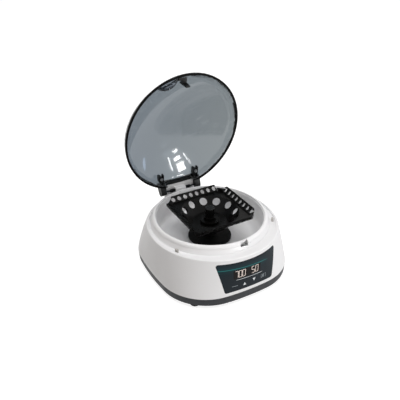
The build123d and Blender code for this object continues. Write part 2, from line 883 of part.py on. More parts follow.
with BuildPart() as motor_armature:
    with BuildSketch(level(motor_bottom + bearing_height + bell_gap)):
        Circle(armature_radius)
        Circle(shaft_radius, mode=Mode.SUBTRACT)
    extrude(amount=motor_top - motor_bottom - 2 * bearing_height - 2 * bell_gap)
motor_armature.part.label = "motor_armature"
export_step(motor_armature.part, "parts/motor_armature.step")

with BuildPart() as motor_stator:
    with BuildSketch(level(motor_bottom + bearing_height)):
        Circle(motor_radius - motor_wall)
        Circle(armature_radius + bell_gap, mode=Mode.SUBTRACT)
    extrude(amount=motor_top - motor_bottom - 2 * bearing_height)
motor_stator.part.label = "motor_stator"
export_step(motor_stator.part, "parts/motor_stator.step")

with BuildPart() as motor_can:
    with BuildSketch(level(motor_bottom)):
        Circle(motor_radius)
    extrude(amount=motor_top - motor_bottom)
    with BuildSketch(level(motor_bottom + bearing_height)):
        Circle(motor_radius - motor_wall)
    extrude(amount=motor_top - motor_bottom - 2 * bearing_height, mode=Mode.SUBTRACT)
    with BuildSketch(level(motor_bottom)):
        Circle(bearing_radius)
    extrude(amount=motor_top - motor_bottom, mode=Mode.SUBTRACT)
    with BuildSketch(level(motor_top)):
        with Locations(*motor_screw_places):
            Circle(mount_screw_radius + seat_gap)
    extrude(amount=-bearing_height, mode=Mode.SUBTRACT)
motor_can.part.label = "motor_can"
export_step(motor_can.part, "parts/motor_can.step")

with BuildPart() as motor_bearings:
    with BuildSketch(level(motor_bottom), level(motor_top - bearing_height)):
        Circle(bearing_radius)
        Circle(shaft_radius + running_gap, mode=Mode.SUBTRACT)
    extrude(amount=bearing_height)
motor_bearings.part.label = "motor_bearings"
export_step(motor_bearings.part, "parts/motor_bearings.step")

# Bracket across the motor's top, on three rubber isolators
with BuildPart() as motor_bracket:
    with BuildSketch(level(motor_top)):
        Circle(bracket_radius)
        for place in post_places:
            with Locations(place):
                Circle(ear_radius)
            with Locations(Location((place[0] / 2, place[1] / 2), degrees(atan2(place[1], place[0])))):
                Rectangle(ear_distance, 2 * ear_radius)
        Circle(bearing_radius, mode=Mode.SUBTRACT)
        with Locations(*post_places, *motor_screw_places):
            Circle(mount_screw_radius + seat_gap, mode=Mode.SUBTRACT)
    extrude(amount=bracket_sheet)
motor_bracket.part.label = "motor_bracket"
export_step(motor_bracket.part, "parts/motor_bracket.step")

with BuildPart() as motor_isolators:
    with BuildSketch(level(post_top)):
        with Locations(*post_places):
            Circle(isolator_radius)
            Circle(mount_screw_radius + seat_gap, mode=Mode.SUBTRACT)
    extrude(amount=isolator_height)
motor_isolators.part.label = "motor_isolators"
export_step(motor_isolators.part, "parts/motor_isolators.step")

with BuildPart() as bracket_screws:
    with BuildSketch(level(motor_top + bracket_sheet)):
        with Locations(*post_places, *motor_screw_places):
            Circle(mount_screw_head_radius)
    extrude(amount=mount_screw_head)
    with BuildSketch(level(motor_top + bracket_sheet)):
        with Locations(*post_places):
            Circle(mount_screw_radius)
    extrude(amount=-bracket_screw_length)
    with BuildSketch(level(motor_top + bracket_sheet)):
        with Locations(*motor_screw_places):
            Circle(mount_screw_radius)
    extrude(amount=-bracket_sheet - bearing_height)
bracket_screws.part.label = "bracket_screws"
export_step(bracket_screws.part, "parts/bracket_screws.step")

# Hinge rod along the whole hinge
with BuildPart() as hinge_rod:
    with BuildSketch(across(-rod_half_length)):
        with Locations((hinge_back, hinge_height)):
            Circle(rod_radius)
    extrude(amount=2 * rod_half_length)
hinge_rod.part.label = "hinge_rod"
export_step(hinge_rod.part, "parts/hinge_rod.step")

# Two torsion springs wound round the rod, each one tube with its two legs


def spring_path(side):
    """Wire line of one spring: a leg, the coils round the rod and the other leg."""
    start_x = side * spring_start
    coils = Helix(
        pitch=spring_pitch,
        height=spring_pitch * spring_turns,
        radius=spring_radius,
        center=(start_x, bowl_axis_y + hinge_back, hinge_height),
        direction=(side, 0, 0),
        mode=Mode.PRIVATE,
    )
    first_leg = Line(coils @ 0 - (coils % 0) * spring_leg, coils @ 0, mode=Mode.PRIVATE)
    last_leg = Line(coils @ 1, coils @ 1 + (coils % 1) * spring_leg, mode=Mode.PRIVATE)
    return Wire([first_leg.edge(), *coils.edges(), last_leg.edge()])


def least_coil_gap(path):
    """Least gap between turns, measured on points along the wire's middle line."""
    points = [path @ (step / spring_samples) for step in range(spring_samples + 1)]
    spacing = path.length / spring_samples
    skip = int(pi * spring_radius / spacing)
    least = min(
        (points[i] - points[j]).length
        for i in range(len(points))
        for j in range(i + skip, len(points))
    )
    return least - 2 * spring_wire_radius


spring_lines = [spring_path(side) for side in (-1, 1)]
print("least gap between the spring's turns", round(least_coil_gap(spring_lines[0]), 3))
with BuildPart() as torsion_springs:
    for line in spring_lines:
        with BuildSketch(Plane(origin=line @ 0, z_dir=line % 0)):
            Circle(spring_wire_radius)
        sweep(path=line, is_frenet=True)
torsion_springs.part.label = "torsion_springs"
export_step(torsion_springs.part, "parts/torsion_springs.step")

# Hinge yoke: two arms with knuckles, joined by a bowed wall that closes the lid's rear
arm_profile = [
    (arm_nose_back, rib_bottom),
    (yoke_end_back - yoke_wall_thickness, rib_bottom),
    (yoke_end_back - yoke_wall_thickness, arm_front_height + arm_notch_rise),
    (yoke_end_back, arm_front_height),
    (
        hinge_back - knuckle_radius * sin(radians(back_lean)),
        hinge_height - knuckle_radius * cos(radians(back_lean)),
    ),
    (
        hinge_back + knuckle_radius * sin(radians(top_lean)),
        hinge_height + knuckle_radius * cos(radians(top_lean)),
    ),
    (yoke_end_back + yoke_wall_thickness, yoke_wall_top),
    (arm_nose_back, yoke_wall_top),
]
with BuildPart() as hinge_yoke:
    for side in (-1, 1):
        for rib in (arm_inner, arm_outer - rib_thickness):
            with BuildSketch(opened(level(rib_bottom))):
                with Locations((side * (rib + rib_thickness / 2), (rib_front + yoke_end_back) / 2)):
                    Rectangle(rib_thickness, yoke_end_back - rib_front)
            extrude(amount=rib_height)
    with BuildSketch(opened(level(rib_bottom))):
        for side in (-1, 1):
            with Locations((side * (arm_inner + arm_outer) / 2, boss_back)):
                Circle(boss_radius)
    extrude(amount=lid_rise)
    add(lid_inner, mode=Mode.INTERSECT)
    with BuildSketch(opened(level(yoke_wall_bottom))):
        with BuildLine():
            Line((-arm_outer, yoke_end_back - yoke_wall_thickness), (-arm_outer, yoke_end_back))
            ThreePointArc((-arm_outer, yoke_end_back), (0, yoke_wall_back), (arm_outer, yoke_end_back))
            Line((arm_outer, yoke_end_back), (arm_outer, yoke_end_back - yoke_wall_thickness))
            ThreePointArc(
                (arm_outer, yoke_end_back - yoke_wall_thickness),
                (0, yoke_wall_back - yoke_wall_thickness),
                (-arm_outer, yoke_end_back - yoke_wall_thickness),
            )
        make_face()
    extrude(amount=yoke_wall_top - yoke_wall_bottom)
    with BuildSketch(opened(across(arm_inner)), opened(across(-arm_outer))):
        with BuildLine():
            Polyline(*arm_profile, close=True)
        make_face()
        with Locations((hinge_back, hinge_height)):
            Circle(knuckle_radius)
    extrude(amount=arm_outer - arm_inner)
    with BuildSketch(opened(across(-arm_outer))):
        with Locations((hinge_back, hinge_height)):
            Circle(rod_radius + running_gap)
    extrude(amount=2 * arm_outer, mode=Mode.SUBTRACT)
hinge_yoke.part.label = "hinge_yoke"
export_step(hinge_yoke.part, "parts/hinge_yoke.step")

# Lid dome: thin clear shell, cut off along a chord for the yoke, with the grip's curved wall


def rear_trim(height):
    """Block behind the chord on which the lid is cut off."""
    with BuildPart() as block:
        with BuildSketch(opened(level(rim_height))):
            with Locations((0, yoke_end_back + lid_half_y / 2)):
                Rectangle(2 * lid_half_x, lid_half_y)
        extrude(amount=height)
    return block.part


grip_middle = (grip_left + grip_right) / 2


def rim_front(x, inset):
    """How far forward the lid's rim lies at a side place."""
    return ledge_back - (lid_half_y - inset) * sqrt(1 - (x / (lid_half_x - inset)) ** 2)


def grip_curve(inset):
    """Closed plan of the finger grip's lens, drawn in by an inset."""
    ThreePointArc(
        (grip_left + inset, rim_front(grip_left + inset, lid_sheet)),
        (grip_middle, rim_front(grip_middle, 0) + grip_depth - inset),
        (grip_right - inset, rim_front(grip_right - inset, lid_sheet)),
    )
    Line(
        (grip_right - inset, rim_front(grip_right - inset, lid_sheet)),
        (grip_left + inset, rim_front(grip_left + inset, lid_sheet)),
    )


with BuildPart() as grip:
    with BuildSketch(opened(level(grip_bottom))):
        with BuildLine():
            grip_curve(0)
        make_face()
        with BuildLine():
            grip_curve(grip_wall)
        make_face(mode=Mode.SUBTRACT)
    extrude(amount=lid_rise)
    add(lid_inner, mode=Mode.INTERSECT)

with BuildPart() as lid_dome:
    add(lid_outer)
    add(lid_inner, mode=Mode.SUBTRACT)
    add(grip.part)
    add(rear_trim(lid_rise), mode=Mode.SUBTRACT)
    add(hinge_yoke.part, mode=Mode.SUBTRACT)
lid_dome.part.label = "lid_dome"
export_step(lid_dome.part, "parts/lid_dome.step")

# Black edge seal round the lid's rim, open at the rear chord
with BuildPart() as lid_seal:
    with BuildSketch(opened(level(rim_height, ledge_back))):
        Ellipse(lid_half_x, lid_half_y)
        Ellipse(lid_half_x - seal_width, lid_half_y - seal_width, mode=Mode.SUBTRACT)
    extrude(amount=seal_height)
    add(rear_trim(seal_height), mode=Mode.SUBTRACT)
lid_seal.part.label = "lid_seal"
export_step(lid_seal.part, "parts/lid_seal.step")

# Latch hook inside the lid's front: a broad base against the dome and a notched prong
hook_middle = (hook_left + hook_right) / 2
with BuildPart() as latch_hook:
    with BuildSketch(opened(level(hook_block_bottom))):
        with Locations((hook_middle, (hook_block_front + hook_block_rear) / 2)):
            Rectangle(hook_right - hook_left, hook_block_rear - hook_block_front)
        with Locations(((hook_base_left + hook_right) / 2, (hook_base_front + hook_base_rear) / 2)):
            Rectangle(hook_right - hook_base_left, hook_base_rear - hook_base_front)
    extrude(amount=lid_rise)
    add(lid_inner, mode=Mode.INTERSECT)
    with BuildSketch(opened(level(hook_bottom))):
        with Locations((hook_middle, (hook_front + hook_rear) / 2)):
            Rectangle(hook_right - hook_left, hook_rear - hook_front)
    extrude(amount=hook_block_bottom - hook_bottom)
    with BuildSketch(opened(level(bolt_middle - bolt_height / 2 - loose_gap))):
        with Locations((hook_right, (hook_front + hook_rear) / 2)):
            Rectangle(2 * hook_notch, hook_rear - hook_front)
    extrude(amount=bolt_height + 2 * loose_gap, mode=Mode.SUBTRACT)
latch_hook.part.label = "latch_hook"
export_step(latch_hook.part, "parts/latch_hook.step")

# Screws under the yoke's bosses
with BuildPart() as lid_screws:
    with BuildSketch(opened(level(rib_bottom))):
        for side in (-1, 1):
            with Locations((side * (arm_inner + arm_outer) / 2, boss_back)):
                Circle(boss_radius - loose_gap)
    extrude(amount=-lid_screw_head)
lid_screws.part.label = "lid_screws"
export_step(lid_screws.part, "parts/lid_screws.step")

# Latch under the ring: bracket, solenoid, switch and the sliding bolt
with BuildPart() as latch_bracket:
    with BuildSketch(level(deck_bottom)):
        with Locations((
            (bracket_plate_left + solenoid_right) / 2,
            (bracket_plate_front + bracket_plate_rear) / 2,
        )):
            Rectangle(
                solenoid_right - bracket_plate_left,
                bracket_plate_rear - bracket_plate_front,
            )
        with Locations(((bolt_leg_start + bolt_leg_end + bolt_travel) / 2, bolt_rear)):
            Rectangle(
                bolt_leg_end - bolt_leg_start + bolt_travel + 2 * loose_gap,
                2 * (bolt_rear - bolt_front + loose_gap),
                mode=Mode.SUBTRACT,
            )
    extrude(amount=-latch_sheet)
latch_bracket.part.label = "latch_bracket"
export_step(latch_bracket.part, "parts/latch_bracket.step")

with BuildPart() as latch_solenoid:
    with BuildSketch(across(solenoid_left)):
        with Locations((plunger_back, plunger_height)):
            Rectangle(2 * solenoid_half, 2 * solenoid_half_z)
            Circle(plunger_radius + seat_gap, mode=Mode.SUBTRACT)
    extrude(amount=solenoid_right - solenoid_left)
latch_solenoid.part.label = "latch_solenoid"
export_step(latch_solenoid.part, "parts/latch_solenoid.step")

with BuildPart() as latch_bolt:
    with BuildSketch(axis_plane.offset(-bolt_rear)):
        with Locations(((bolt_tip + bolt_leg_end) / 2, bolt_middle)):
            Rectangle(bolt_leg_end - bolt_tip, bolt_height)
        with Locations(((bolt_leg_start + bolt_leg_end) / 2, (bolt_leg_bottom + bolt_middle) / 2)):
            Rectangle(bolt_leg_end - bolt_leg_start, bolt_middle - bolt_leg_bottom)
    extrude(amount=bolt_rear - bolt_front)
    with BuildSketch(across(bolt_leg_start)):
        with Locations((plunger_back, plunger_height)):
            Circle(plunger_radius + loose_gap)
        with Locations(((plunger_back + bolt_rear) / 2, plunger_height)):
            Rectangle(bolt_rear - plunger_back, 2 * plunger_radius)
    extrude(amount=bolt_leg_end - bolt_leg_start)
    with BuildSketch(across(bolt_leg_end)):
        with Locations((plunger_back, plunger_height)):
            Circle(plunger_radius)
    extrude(amount=plunger_length)
latch_bolt.part.label = "latch_bolt"
export_step(latch_bolt.part, "parts/latch_bolt.step")

with BuildPart() as lid_switch:
    with BuildSketch(level(deck_bottom - latch_sheet)):
        with Locations((lid_switch_x, plunger_back)):
            Rectangle(lid_switch_length, lid_switch_width)
    extrude(amount=-lid_switch_depth)
lid_switch.part.label = "lid_switch"
export_step(lid_switch.part, "parts/lid_switch.step")

# Two small bumpers in the gutter that stand a little above the ledge
with BuildPart() as ledge_bumpers:
    with BuildSketch(level(deck_top)):
        for side in (-1, 1):
            turn = degrees(atan2(bumper_front - ledge_back, side * bumper_side))
            with Locations(Location((side * bumper_side, bumper_front), turn)):
                RectangleRounded(bumper_width, bumper_length, bumper_round)
    extrude(amount=gutter_depth + bumper_rise)
ledge_bumpers.part.label = "ledge_bumpers"
export_step(ledge_bumpers.part, "parts/ledge_bumpers.step")

# Control panel: a thin overlay that follows the housing's front, and what is behind it
with BuildPart() as control_panel:
    add(shell_outer)
    add(shell_recess, mode=Mode.SUBTRACT)
    add(panel_prism(seat_gap), mode=Mode.INTERSECT)
control_panel.part.label = "control_panel"
export_step(control_panel.part, "parts/control_panel.step")

with BuildPart() as display_module:
    with BuildSketch(axis_plane.offset(-board_front)):
        with Locations(((window_left + window_right) / 2, (window_low + window_high) / 2)):
            Rectangle(
                window_right - window_left - 2 * seat_gap,
                window_high - window_low - 2 * seat_gap,
            )
    extrude(amount=shell_half_y)
    add(shell_recess, mode=Mode.INTERSECT)
display_module.part.label = "display_module"
export_step(display_module.part, "parts/display_module.step")

with BuildPart() as control_board:
    with BuildSketch(axis_plane.offset(-board_front)):
        with Locations((0, (board_low + board_high) / 2)):
            Rectangle(2 * board_half, board_high - board_low)
    extrude(amount=-board_thickness)
control_board.part.label = "control_board"
export_step(control_board.part, "parts/control_board.step")

# Power board on the tray with its coil, capacitors and connector
with BuildPart() as power_board:
    with BuildSketch(level(power_board_height)):
        with Locations(power_board_place):
            Rectangle(power_board_width, power_board_length)
    extrude(amount=board_thickness)
    with BuildSketch(level(power_board_height + board_thickness)):
        with Locations(power_board_place):
            with GridLocations(power_board_width / 2, power_board_length / 2, 2, 2):
                Circle(capacitor_radius)
            Rectangle(2 * capacitor_radius, power_board_width / 2)
    extrude(amount=capacitor_height)
power_board.part.label = "power_board"
export_step(power_board.part, "parts/power_board.step")

# Rocker switch in the rear pocket: frame, and the paddle on its own pivot
paddle_profile = [
    (paddle_face, -paddle_half_z),
    (paddle_face - paddle_dip, 0),
    (paddle_face, paddle_half_z),
    (-paddle_dip, paddle_half_z - paddle_dip),
    (-paddle_dip, paddle_dip - paddle_half_z),
]
pivot_plane = across(switch_x) * Location((rear_pocket_y - pivot_depth, rear_middle, 0))
with BuildPart() as switch_frame:
    with BuildSketch(axis_plane.offset(-rear_pocket_y)):
        with Locations((switch_x, rear_middle)):
            RectangleRounded(
                2 * (switch_half_x + switch_flange),
                2 * (switch_half_z + switch_flange),
                switch_flange,
            )
    extrude(amount=-switch_flange_sheet)
    with BuildSketch(axis_plane.offset(-rear_pocket_y)):
        with Locations((switch_x, rear_middle)):
            Rectangle(2 * switch_half_x, 2 * switch_half_z)
    extrude(amount=switch_depth)
    with BuildSketch(axis_plane.offset(-rear_pocket_y - switch_flange_sheet)):
        with Locations((switch_x, rear_middle)):
            Rectangle(2 * (paddle_half_x + loose_gap), 2 * (switch_half_z - switch_wall))
    extrude(amount=switch_depth, mode=Mode.SUBTRACT)
    with BuildSketch(pivot_plane):
        Circle(pivot_radius + running_gap)
    extrude(amount=switch_half_x, both=True, mode=Mode.SUBTRACT)
switch_frame.part.label = "switch_frame"
export_step(switch_frame.part, "parts/switch_frame.step")

with BuildPart() as power_rocker:
    with BuildSketch(pivot_plane * Location((0, 0, 0), (0, 0, paddle_tilt))):
        with BuildLine():
            Polyline(*paddle_profile, close=True)
        make_face()
    extrude(amount=paddle_half_x, both=True)
    with BuildSketch(pivot_plane):
        Circle(pivot_radius)
    extrude(amount=switch_half_x - loose_gap, both=True)
power_rocker.part.label = "power_rocker"
export_step(power_rocker.part, "parts/power_rocker.step")

# Power inlet beside the switch, with its centre pin
with BuildPart() as power_inlet:
    with BuildSketch(axis_plane.offset(-rear_pocket_y - switch_flange_sheet)):
        with Locations((inlet_x, rear_middle)):
            Circle(inlet_flange_radius)
    extrude(amount=switch_flange_sheet)
    with BuildSketch(axis_plane.offset(-rear_pocket_y)):
        with Locations((inlet_x, rear_middle)):
            Circle(inlet_radius)
    extrude(amount=switch_depth)
    with BuildSketch(axis_plane.offset(-rear_pocket_y - switch_flange_sheet)):
        with Locations((inlet_x, rear_middle)):
            Circle(inlet_bore_radius)
            Circle(inlet_pin_radius, mode=Mode.SUBTRACT)
    extrude(amount=inlet_bore_depth, mode=Mode.SUBTRACT)
power_inlet.part.label = "power_inlet"
export_step(power_inlet.part, "parts/power_inlet.step")
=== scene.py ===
import json
import math
import bpy
import bmesh
from mathutils import Matrix, Vector
from mathutils.bvhtree import BVHTree


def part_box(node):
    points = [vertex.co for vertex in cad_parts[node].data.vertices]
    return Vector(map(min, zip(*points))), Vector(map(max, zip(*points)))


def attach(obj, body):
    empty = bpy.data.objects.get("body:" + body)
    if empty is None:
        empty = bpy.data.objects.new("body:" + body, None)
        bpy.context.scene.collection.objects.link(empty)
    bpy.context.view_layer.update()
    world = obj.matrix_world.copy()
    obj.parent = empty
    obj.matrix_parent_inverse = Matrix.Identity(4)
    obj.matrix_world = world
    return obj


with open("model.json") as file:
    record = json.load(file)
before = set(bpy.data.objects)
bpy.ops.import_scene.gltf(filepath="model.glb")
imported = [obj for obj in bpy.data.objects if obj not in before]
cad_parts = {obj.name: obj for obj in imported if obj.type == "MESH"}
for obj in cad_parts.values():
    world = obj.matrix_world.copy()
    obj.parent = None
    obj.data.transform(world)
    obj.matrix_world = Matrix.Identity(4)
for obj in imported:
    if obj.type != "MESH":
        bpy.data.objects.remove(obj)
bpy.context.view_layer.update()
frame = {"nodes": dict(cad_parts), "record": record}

# Bench centrifuge with an open smoked lid. The CAD nodes keep their shape and get
# bevels and finishes here, and the panel's print and the small marks are added.

scene = bpy.context.scene
scene.view_settings.view_transform = "Standard"
nodes = frame["nodes"]
millimetre = 0.001
axisY = -7.0 * millimetre  # the rotor's axis in the row frame
rayStart = -0.2  # metres, in front of the whole part; the marks are laid from there
backward = Vector((0, 1, 0))
noiseLow, noiseHigh = 0.3, 0.7  # most values of a noise texture lie between these
firstColour, secondColour, mixedColour = 6, 7, 2  # a Mix node's two colour inputs and its colour output
pureWhite = (1, 1, 1, 1)
print("frame loaded:", len(nodes), "nodes")


def srgb(hexColour):
    parts = [int(hexColour[i:i + 2], 16) / 255 for i in (1, 3, 5)]
    linear = [c / 12.92 if c <= 0.04045 else ((c + 0.055) / 1.055) ** 2.4 for c in parts]
    return (*linear, 1.0)


def addNode(material, kind, links=None, values=None, **settings):
    node = material.node_tree.nodes.new(kind)
    for name, value in settings.items():
        setattr(node, name, value)
    for name, value in (values or {}).items():
        node.inputs[name].default_value = value
    for name, socket in (links or {}).items():
        material.node_tree.links.new(socket, node.inputs[name])
    return node


def startMaterial(name, values):
    material = bpy.data.materials.new(name)
    material.use_nodes = True
    shader = material.node_tree.nodes["Principled BSDF"]
    for key, value in values.items():
        shader.inputs[key].default_value = value
    place = addNode(material, "ShaderNodeTexCoord")
    return material, shader, place.outputs["Object"]


def wire(material, source, target):
    material.node_tree.links.new(source, target)


# Wavelength in millimetres to the scale of a noise texture on metre coordinates
def perMillimetre(wavelength):
    return 1.0 / (wavelength * millimetre)


def addGlossAndRelief(material, shader, glossNoise, bumpNoise, settings):
    # uneven gloss from one noise, fine relief from another or the same
    gloss = addNode(material, "ShaderNodeMapRange", {"Value": glossNoise.outputs["Fac"]}, {
        "From Min": noiseLow, "From Max": noiseHigh,
        "To Min": settings["roughLow"], "To Max": settings["roughHigh"],
    })
    wire(material, gloss.outputs["Result"], shader.inputs["Roughness"])
    bump = addNode(material, "ShaderNodeBump", {"Height": bumpNoise.outputs["Fac"]}, {
        "Strength": settings["grainStrength"], "Distance": settings["grainDepth"] * millimetre,
    })
    wire(material, bump.outputs["Normal"], shader.inputs["Normal"])


def addVariation(material, shader, place, settings):
    # soft colour variation, uneven gloss and a fine bump, each from its own noise
    cloud = addNode(material, "ShaderNodeTexNoise", {"Vector": place},
                    {"Scale": perMillimetre(settings["cloudSize"]), "Detail": 3.0})
    smear = addNode(material, "ShaderNodeTexNoise", {"Vector": place},
                    {"Scale": perMillimetre(settings["smearSize"]), "Detail": 2.0})
    grain = addNode(material, "ShaderNodeTexNoise", {"Vector": place},
                    {"Scale": perMillimetre(settings["grainSize"]), "Detail": 2.0})
    tint = addNode(material, "ShaderNodeMix", {"Factor": cloud.outputs["Fac"]}, {
        firstColour: srgb(settings["colour"]), secondColour: srgb(settings["colourOther"]),
    }, data_type="RGBA")
    wire(material, tint.outputs[mixedColour], shader.inputs["Base Color"])
    addGlossAndRelief(material, shader, smear, grain, settings)


# In the settings below sizes and depths are in millimetres, level is how strongly the surface mirrors,
# and coat is a clear gloss over it.

# ABS, injection moulded in a polished tool: white with a soft sheen and a faint orange peel
housingPlastic = {
    "colour": "#ebebec", "colourOther": "#e8e8e9", "cloudSize": 45.0, "smearSize": 3.0,
    "roughLow": 0.4, "roughHigh": 0.43, "grainSize": 2.0, "grainStrength": 0.06, "grainDepth": 0.03,
    "ior": 1.54, "level": 0.4, "coat": 0.1, "coatRough": 0.12,
}

# ABS, moulded in a spark-eroded tool: charcoal with an even fine grain that scatters the light
trayPlastic = {
    "colour": "#25272a", "colourOther": "#2b2d31", "cloudSize": 30.0, "smearSize": 9.0,
    "roughLow": 0.46, "roughHigh": 0.58, "grainSize": 0.6, "grainStrength": 0.45, "grainDepth": 0.12,
    "ior": 1.54, "level": 0.35,
}

# Nitrile rubber, compression moulded: dead black with a dusty bloom
footRubber = {
    "colour": "#151515", "colourOther": "#1d1d1e", "cloudSize": 8.0, "smearSize": 5.0,
    "roughLow": 0.68, "roughHigh": 0.85, "grainSize": 0.5, "grainStrength": 0.5, "grainDepth": 0.1,
    "ior": 1.5, "level": 0.3,
}

# Silicone rubber boot: very dark and soft, it swallows the light in the bowl
bootRubber = {
    "colour": "#070707", "colourOther": "#0c0c0d", "cloudSize": 12.0, "smearSize": 6.0,
    "roughLow": 0.55, "roughHigh": 0.7, "grainSize": 0.8, "grainStrength": 0.3, "grainDepth": 0.08,
    "ior": 1.43, "level": 0.2,
}

# Polypropylene with black pigment, injection moulded: satin, slightly waxy
rotorPlastic = {
    "colour": "#050505", "colourOther": "#0a0908", "cloudSize": 18.0, "smearSize": 6.0,
    "roughLow": 0.26, "roughHigh": 0.34, "grainSize": 0.7, "grainStrength": 0.25, "grainDepth": 0.06,
    "ior": 1.49, "level": 0.13,
}

# Acetal, turned and polished: black with a clear highlight
knobPlastic = {
    "colour": "#0a0a0a", "colourOther": "#0f0f0f", "cloudSize": 9.0, "smearSize": 4.0,
    "roughLow": 0.2, "roughHigh": 0.3, "grainSize": 0.6, "grainStrength": 0.12, "grainDepth": 0.03,
    "ior": 1.48, "level": 0.3, "coat": 0.1,
}

# Polyamide of the rocker, moulded in a polished tool: the same black under a clear gloss
rockerPlastic = dict(knobPlastic, ior=1.53, level=0.5, coat=0.3)

# Glass filled polyamide for the hinge arms: dark, dull, with a dry surface
yokePlastic = {
    "colour": "#060707", "colourOther": "#0c0d0e", "cloudSize": 10.0, "smearSize": 4.0,
    "roughLow": 0.34, "roughHigh": 0.5, "grainSize": 0.6, "grainStrength": 0.3, "grainDepth": 0.08,
    "ior": 1.53, "level": 0.35,
}

# Thermoplastic rubber of the lid's edge seal: black with a satin band of light
sealRubber = {
    "colour": "#020202", "colourOther": "#040404", "cloudSize": 14.0, "smearSize": 6.0,
    "roughLow": 0.3, "roughHigh": 0.42, "grainSize": 0.9, "grainStrength": 0.15, "grainDepth": 0.05,
    "ior": 1.5, "level": 0.08,
}

# Polyamide of the rocker switch and the inlet: black, half matt
switchPlastic = {
    "colour": "#111112", "colourOther": "#161617", "cloudSize": 7.0, "smearSize": 3.0,
    "roughLow": 0.4, "roughHigh": 0.52, "grainSize": 0.5, "grainStrength": 0.35, "grainDepth": 0.06,
    "ior": 1.53, "level": 0.35,
}

# Grey thermoplastic rubber of the small bumpers on the ledge
bumperRubber = {
    "colour": "#b9b6b2", "colourOther": "#a9a6a2", "cloudSize": 3.0, "smearSize": 2.0,
    "roughLow": 0.5, "roughHigh": 0.65, "grainSize": 0.5, "grainStrength": 0.3, "grainDepth": 0.05,
    "ior": 1.5, "level": 0.5,
}

# Glass fibre laminate under green solder mask
boardLaminate = {
    "colour": "#10402a", "colourOther": "#164a32", "cloudSize": 5.0, "smearSize": 3.0,
    "roughLow": 0.3, "roughHigh": 0.42, "grainSize": 0.8, "grainStrength": 0.3, "grainDepth": 0.05,
    "ior": 1.5, "level": 0.5, "coat": 0.3,
}


def makePlastic(name, settings):
    material, shader, place = startMaterial(name, {
        "IOR": settings["ior"], "Specular IOR Level": settings["level"],
        "Coat Weight": settings.get("coat", 0.0), "Coat Roughness": settings.get("coatRough", 0.2),
    })
    addVariation(material, shader, place, settings)
    return material


# Aluminium, spun on a lathe and satin finished: rings round the axis stretch every highlight, and the
# pale satin scatters so much light that it is only partly metallic
bowlMetal = {
    "colour": "#ffffff", "colourOther": "#f1f1f3", "lineSpacing": 0.9, "bandSpacing": 9.0,
    "roughLow": 0.36, "roughHigh": 0.5, "grainStrength": 0.3, "grainDepth": 0.04,
    "metallic": 0.28, "stretch": 0.5,
}


def makeBowlMetal():
    material, shader, place = startMaterial("aluminium_spun_satin", {
        "Metallic": bowlMetal["metallic"], "Anisotropic": bowlMetal["stretch"],
    })
    parts = addNode(material, "ShaderNodeSeparateXYZ", {"Vector": place})
    shifted = addNode(material, "ShaderNodeMath", {0: parts.outputs["Y"]}, {1: axisY}, operation="SUBTRACT")
    flat = addNode(material, "ShaderNodeCombineXYZ", {"X": parts.outputs["X"], "Y": shifted.outputs[0]})
    reach = addNode(material, "ShaderNodeVectorMath", {0: flat.outputs[0]}, operation="LENGTH")
    turned = addNode(material, "ShaderNodeCombineXYZ", {"X": reach.outputs["Value"], "Y": parts.outputs["Z"]})
    lines = addNode(material, "ShaderNodeTexNoise", {"Vector": turned.outputs[0]},
                    {"Scale": perMillimetre(bowlMetal["lineSpacing"]), "Detail": 4.0})
    bands = addNode(material, "ShaderNodeTexNoise", {"Vector": turned.outputs[0]},
                    {"Scale": perMillimetre(bowlMetal["bandSpacing"]), "Detail": 2.0})
    tint = addNode(material, "ShaderNodeMix", {"Factor": bands.outputs["Fac"]}, {
        firstColour: srgb(bowlMetal["colour"]), secondColour: srgb(bowlMetal["colourOther"]),
    }, data_type="RGBA")
    wire(material, tint.outputs[mixedColour], shader.inputs["Base Color"])
    addGlossAndRelief(material, shader, lines, lines, bowlMetal)
    return material


# Steel, turned and zinc plated: pale, with fine scratches and an uneven gloss
screwZinc = {
    "colour": "#b9bbbd", "colourOther": "#a5a8ab", "cloudSize": 2.0, "smearSize": 1.4,
    "roughLow": 0.25, "roughHigh": 0.42, "grainSize": 0.5, "grainStrength": 0.3, "grainDepth": 0.03,
}

# Spring steel, drawn and blued: dark with a narrow gleam
rodSteel = {
    "colour": "#35373a", "colourOther": "#232527", "cloudSize": 3.0, "smearSize": 1.6,
    "roughLow": 0.2, "roughHigh": 0.34, "grainSize": 0.5, "grainStrength": 0.25, "grainDepth": 0.03,
}

# Steel, nickel plated, and the brackets' aluminium sheet: grey with smears left by handling
platedSteel = {
    "colour": "#aeb0b0", "colourOther": "#9a9c9b", "cloudSize": 8.0, "smearSize": 4.0,
    "roughLow": 0.28, "roughHigh": 0.45, "grainSize": 0.7, "grainStrength": 0.25, "grainDepth": 0.04,
}

# Iron laminations and windings under lacquer: brown with a warm, broken gloss
statorIron = {
    "colour": "#6e4a30", "colourOther": "#5a3c28", "cloudSize": 4.0, "smearSize": 2.0,
    "roughLow": 0.35, "roughHigh": 0.5, "grainSize": 0.6, "grainStrength": 0.5, "grainDepth": 0.1,
}


def makeMetal(name, settings):
    material, shader, place = startMaterial(name, {"Metallic": 1.0})
    addVariation(material, shader, place, settings)
    return material


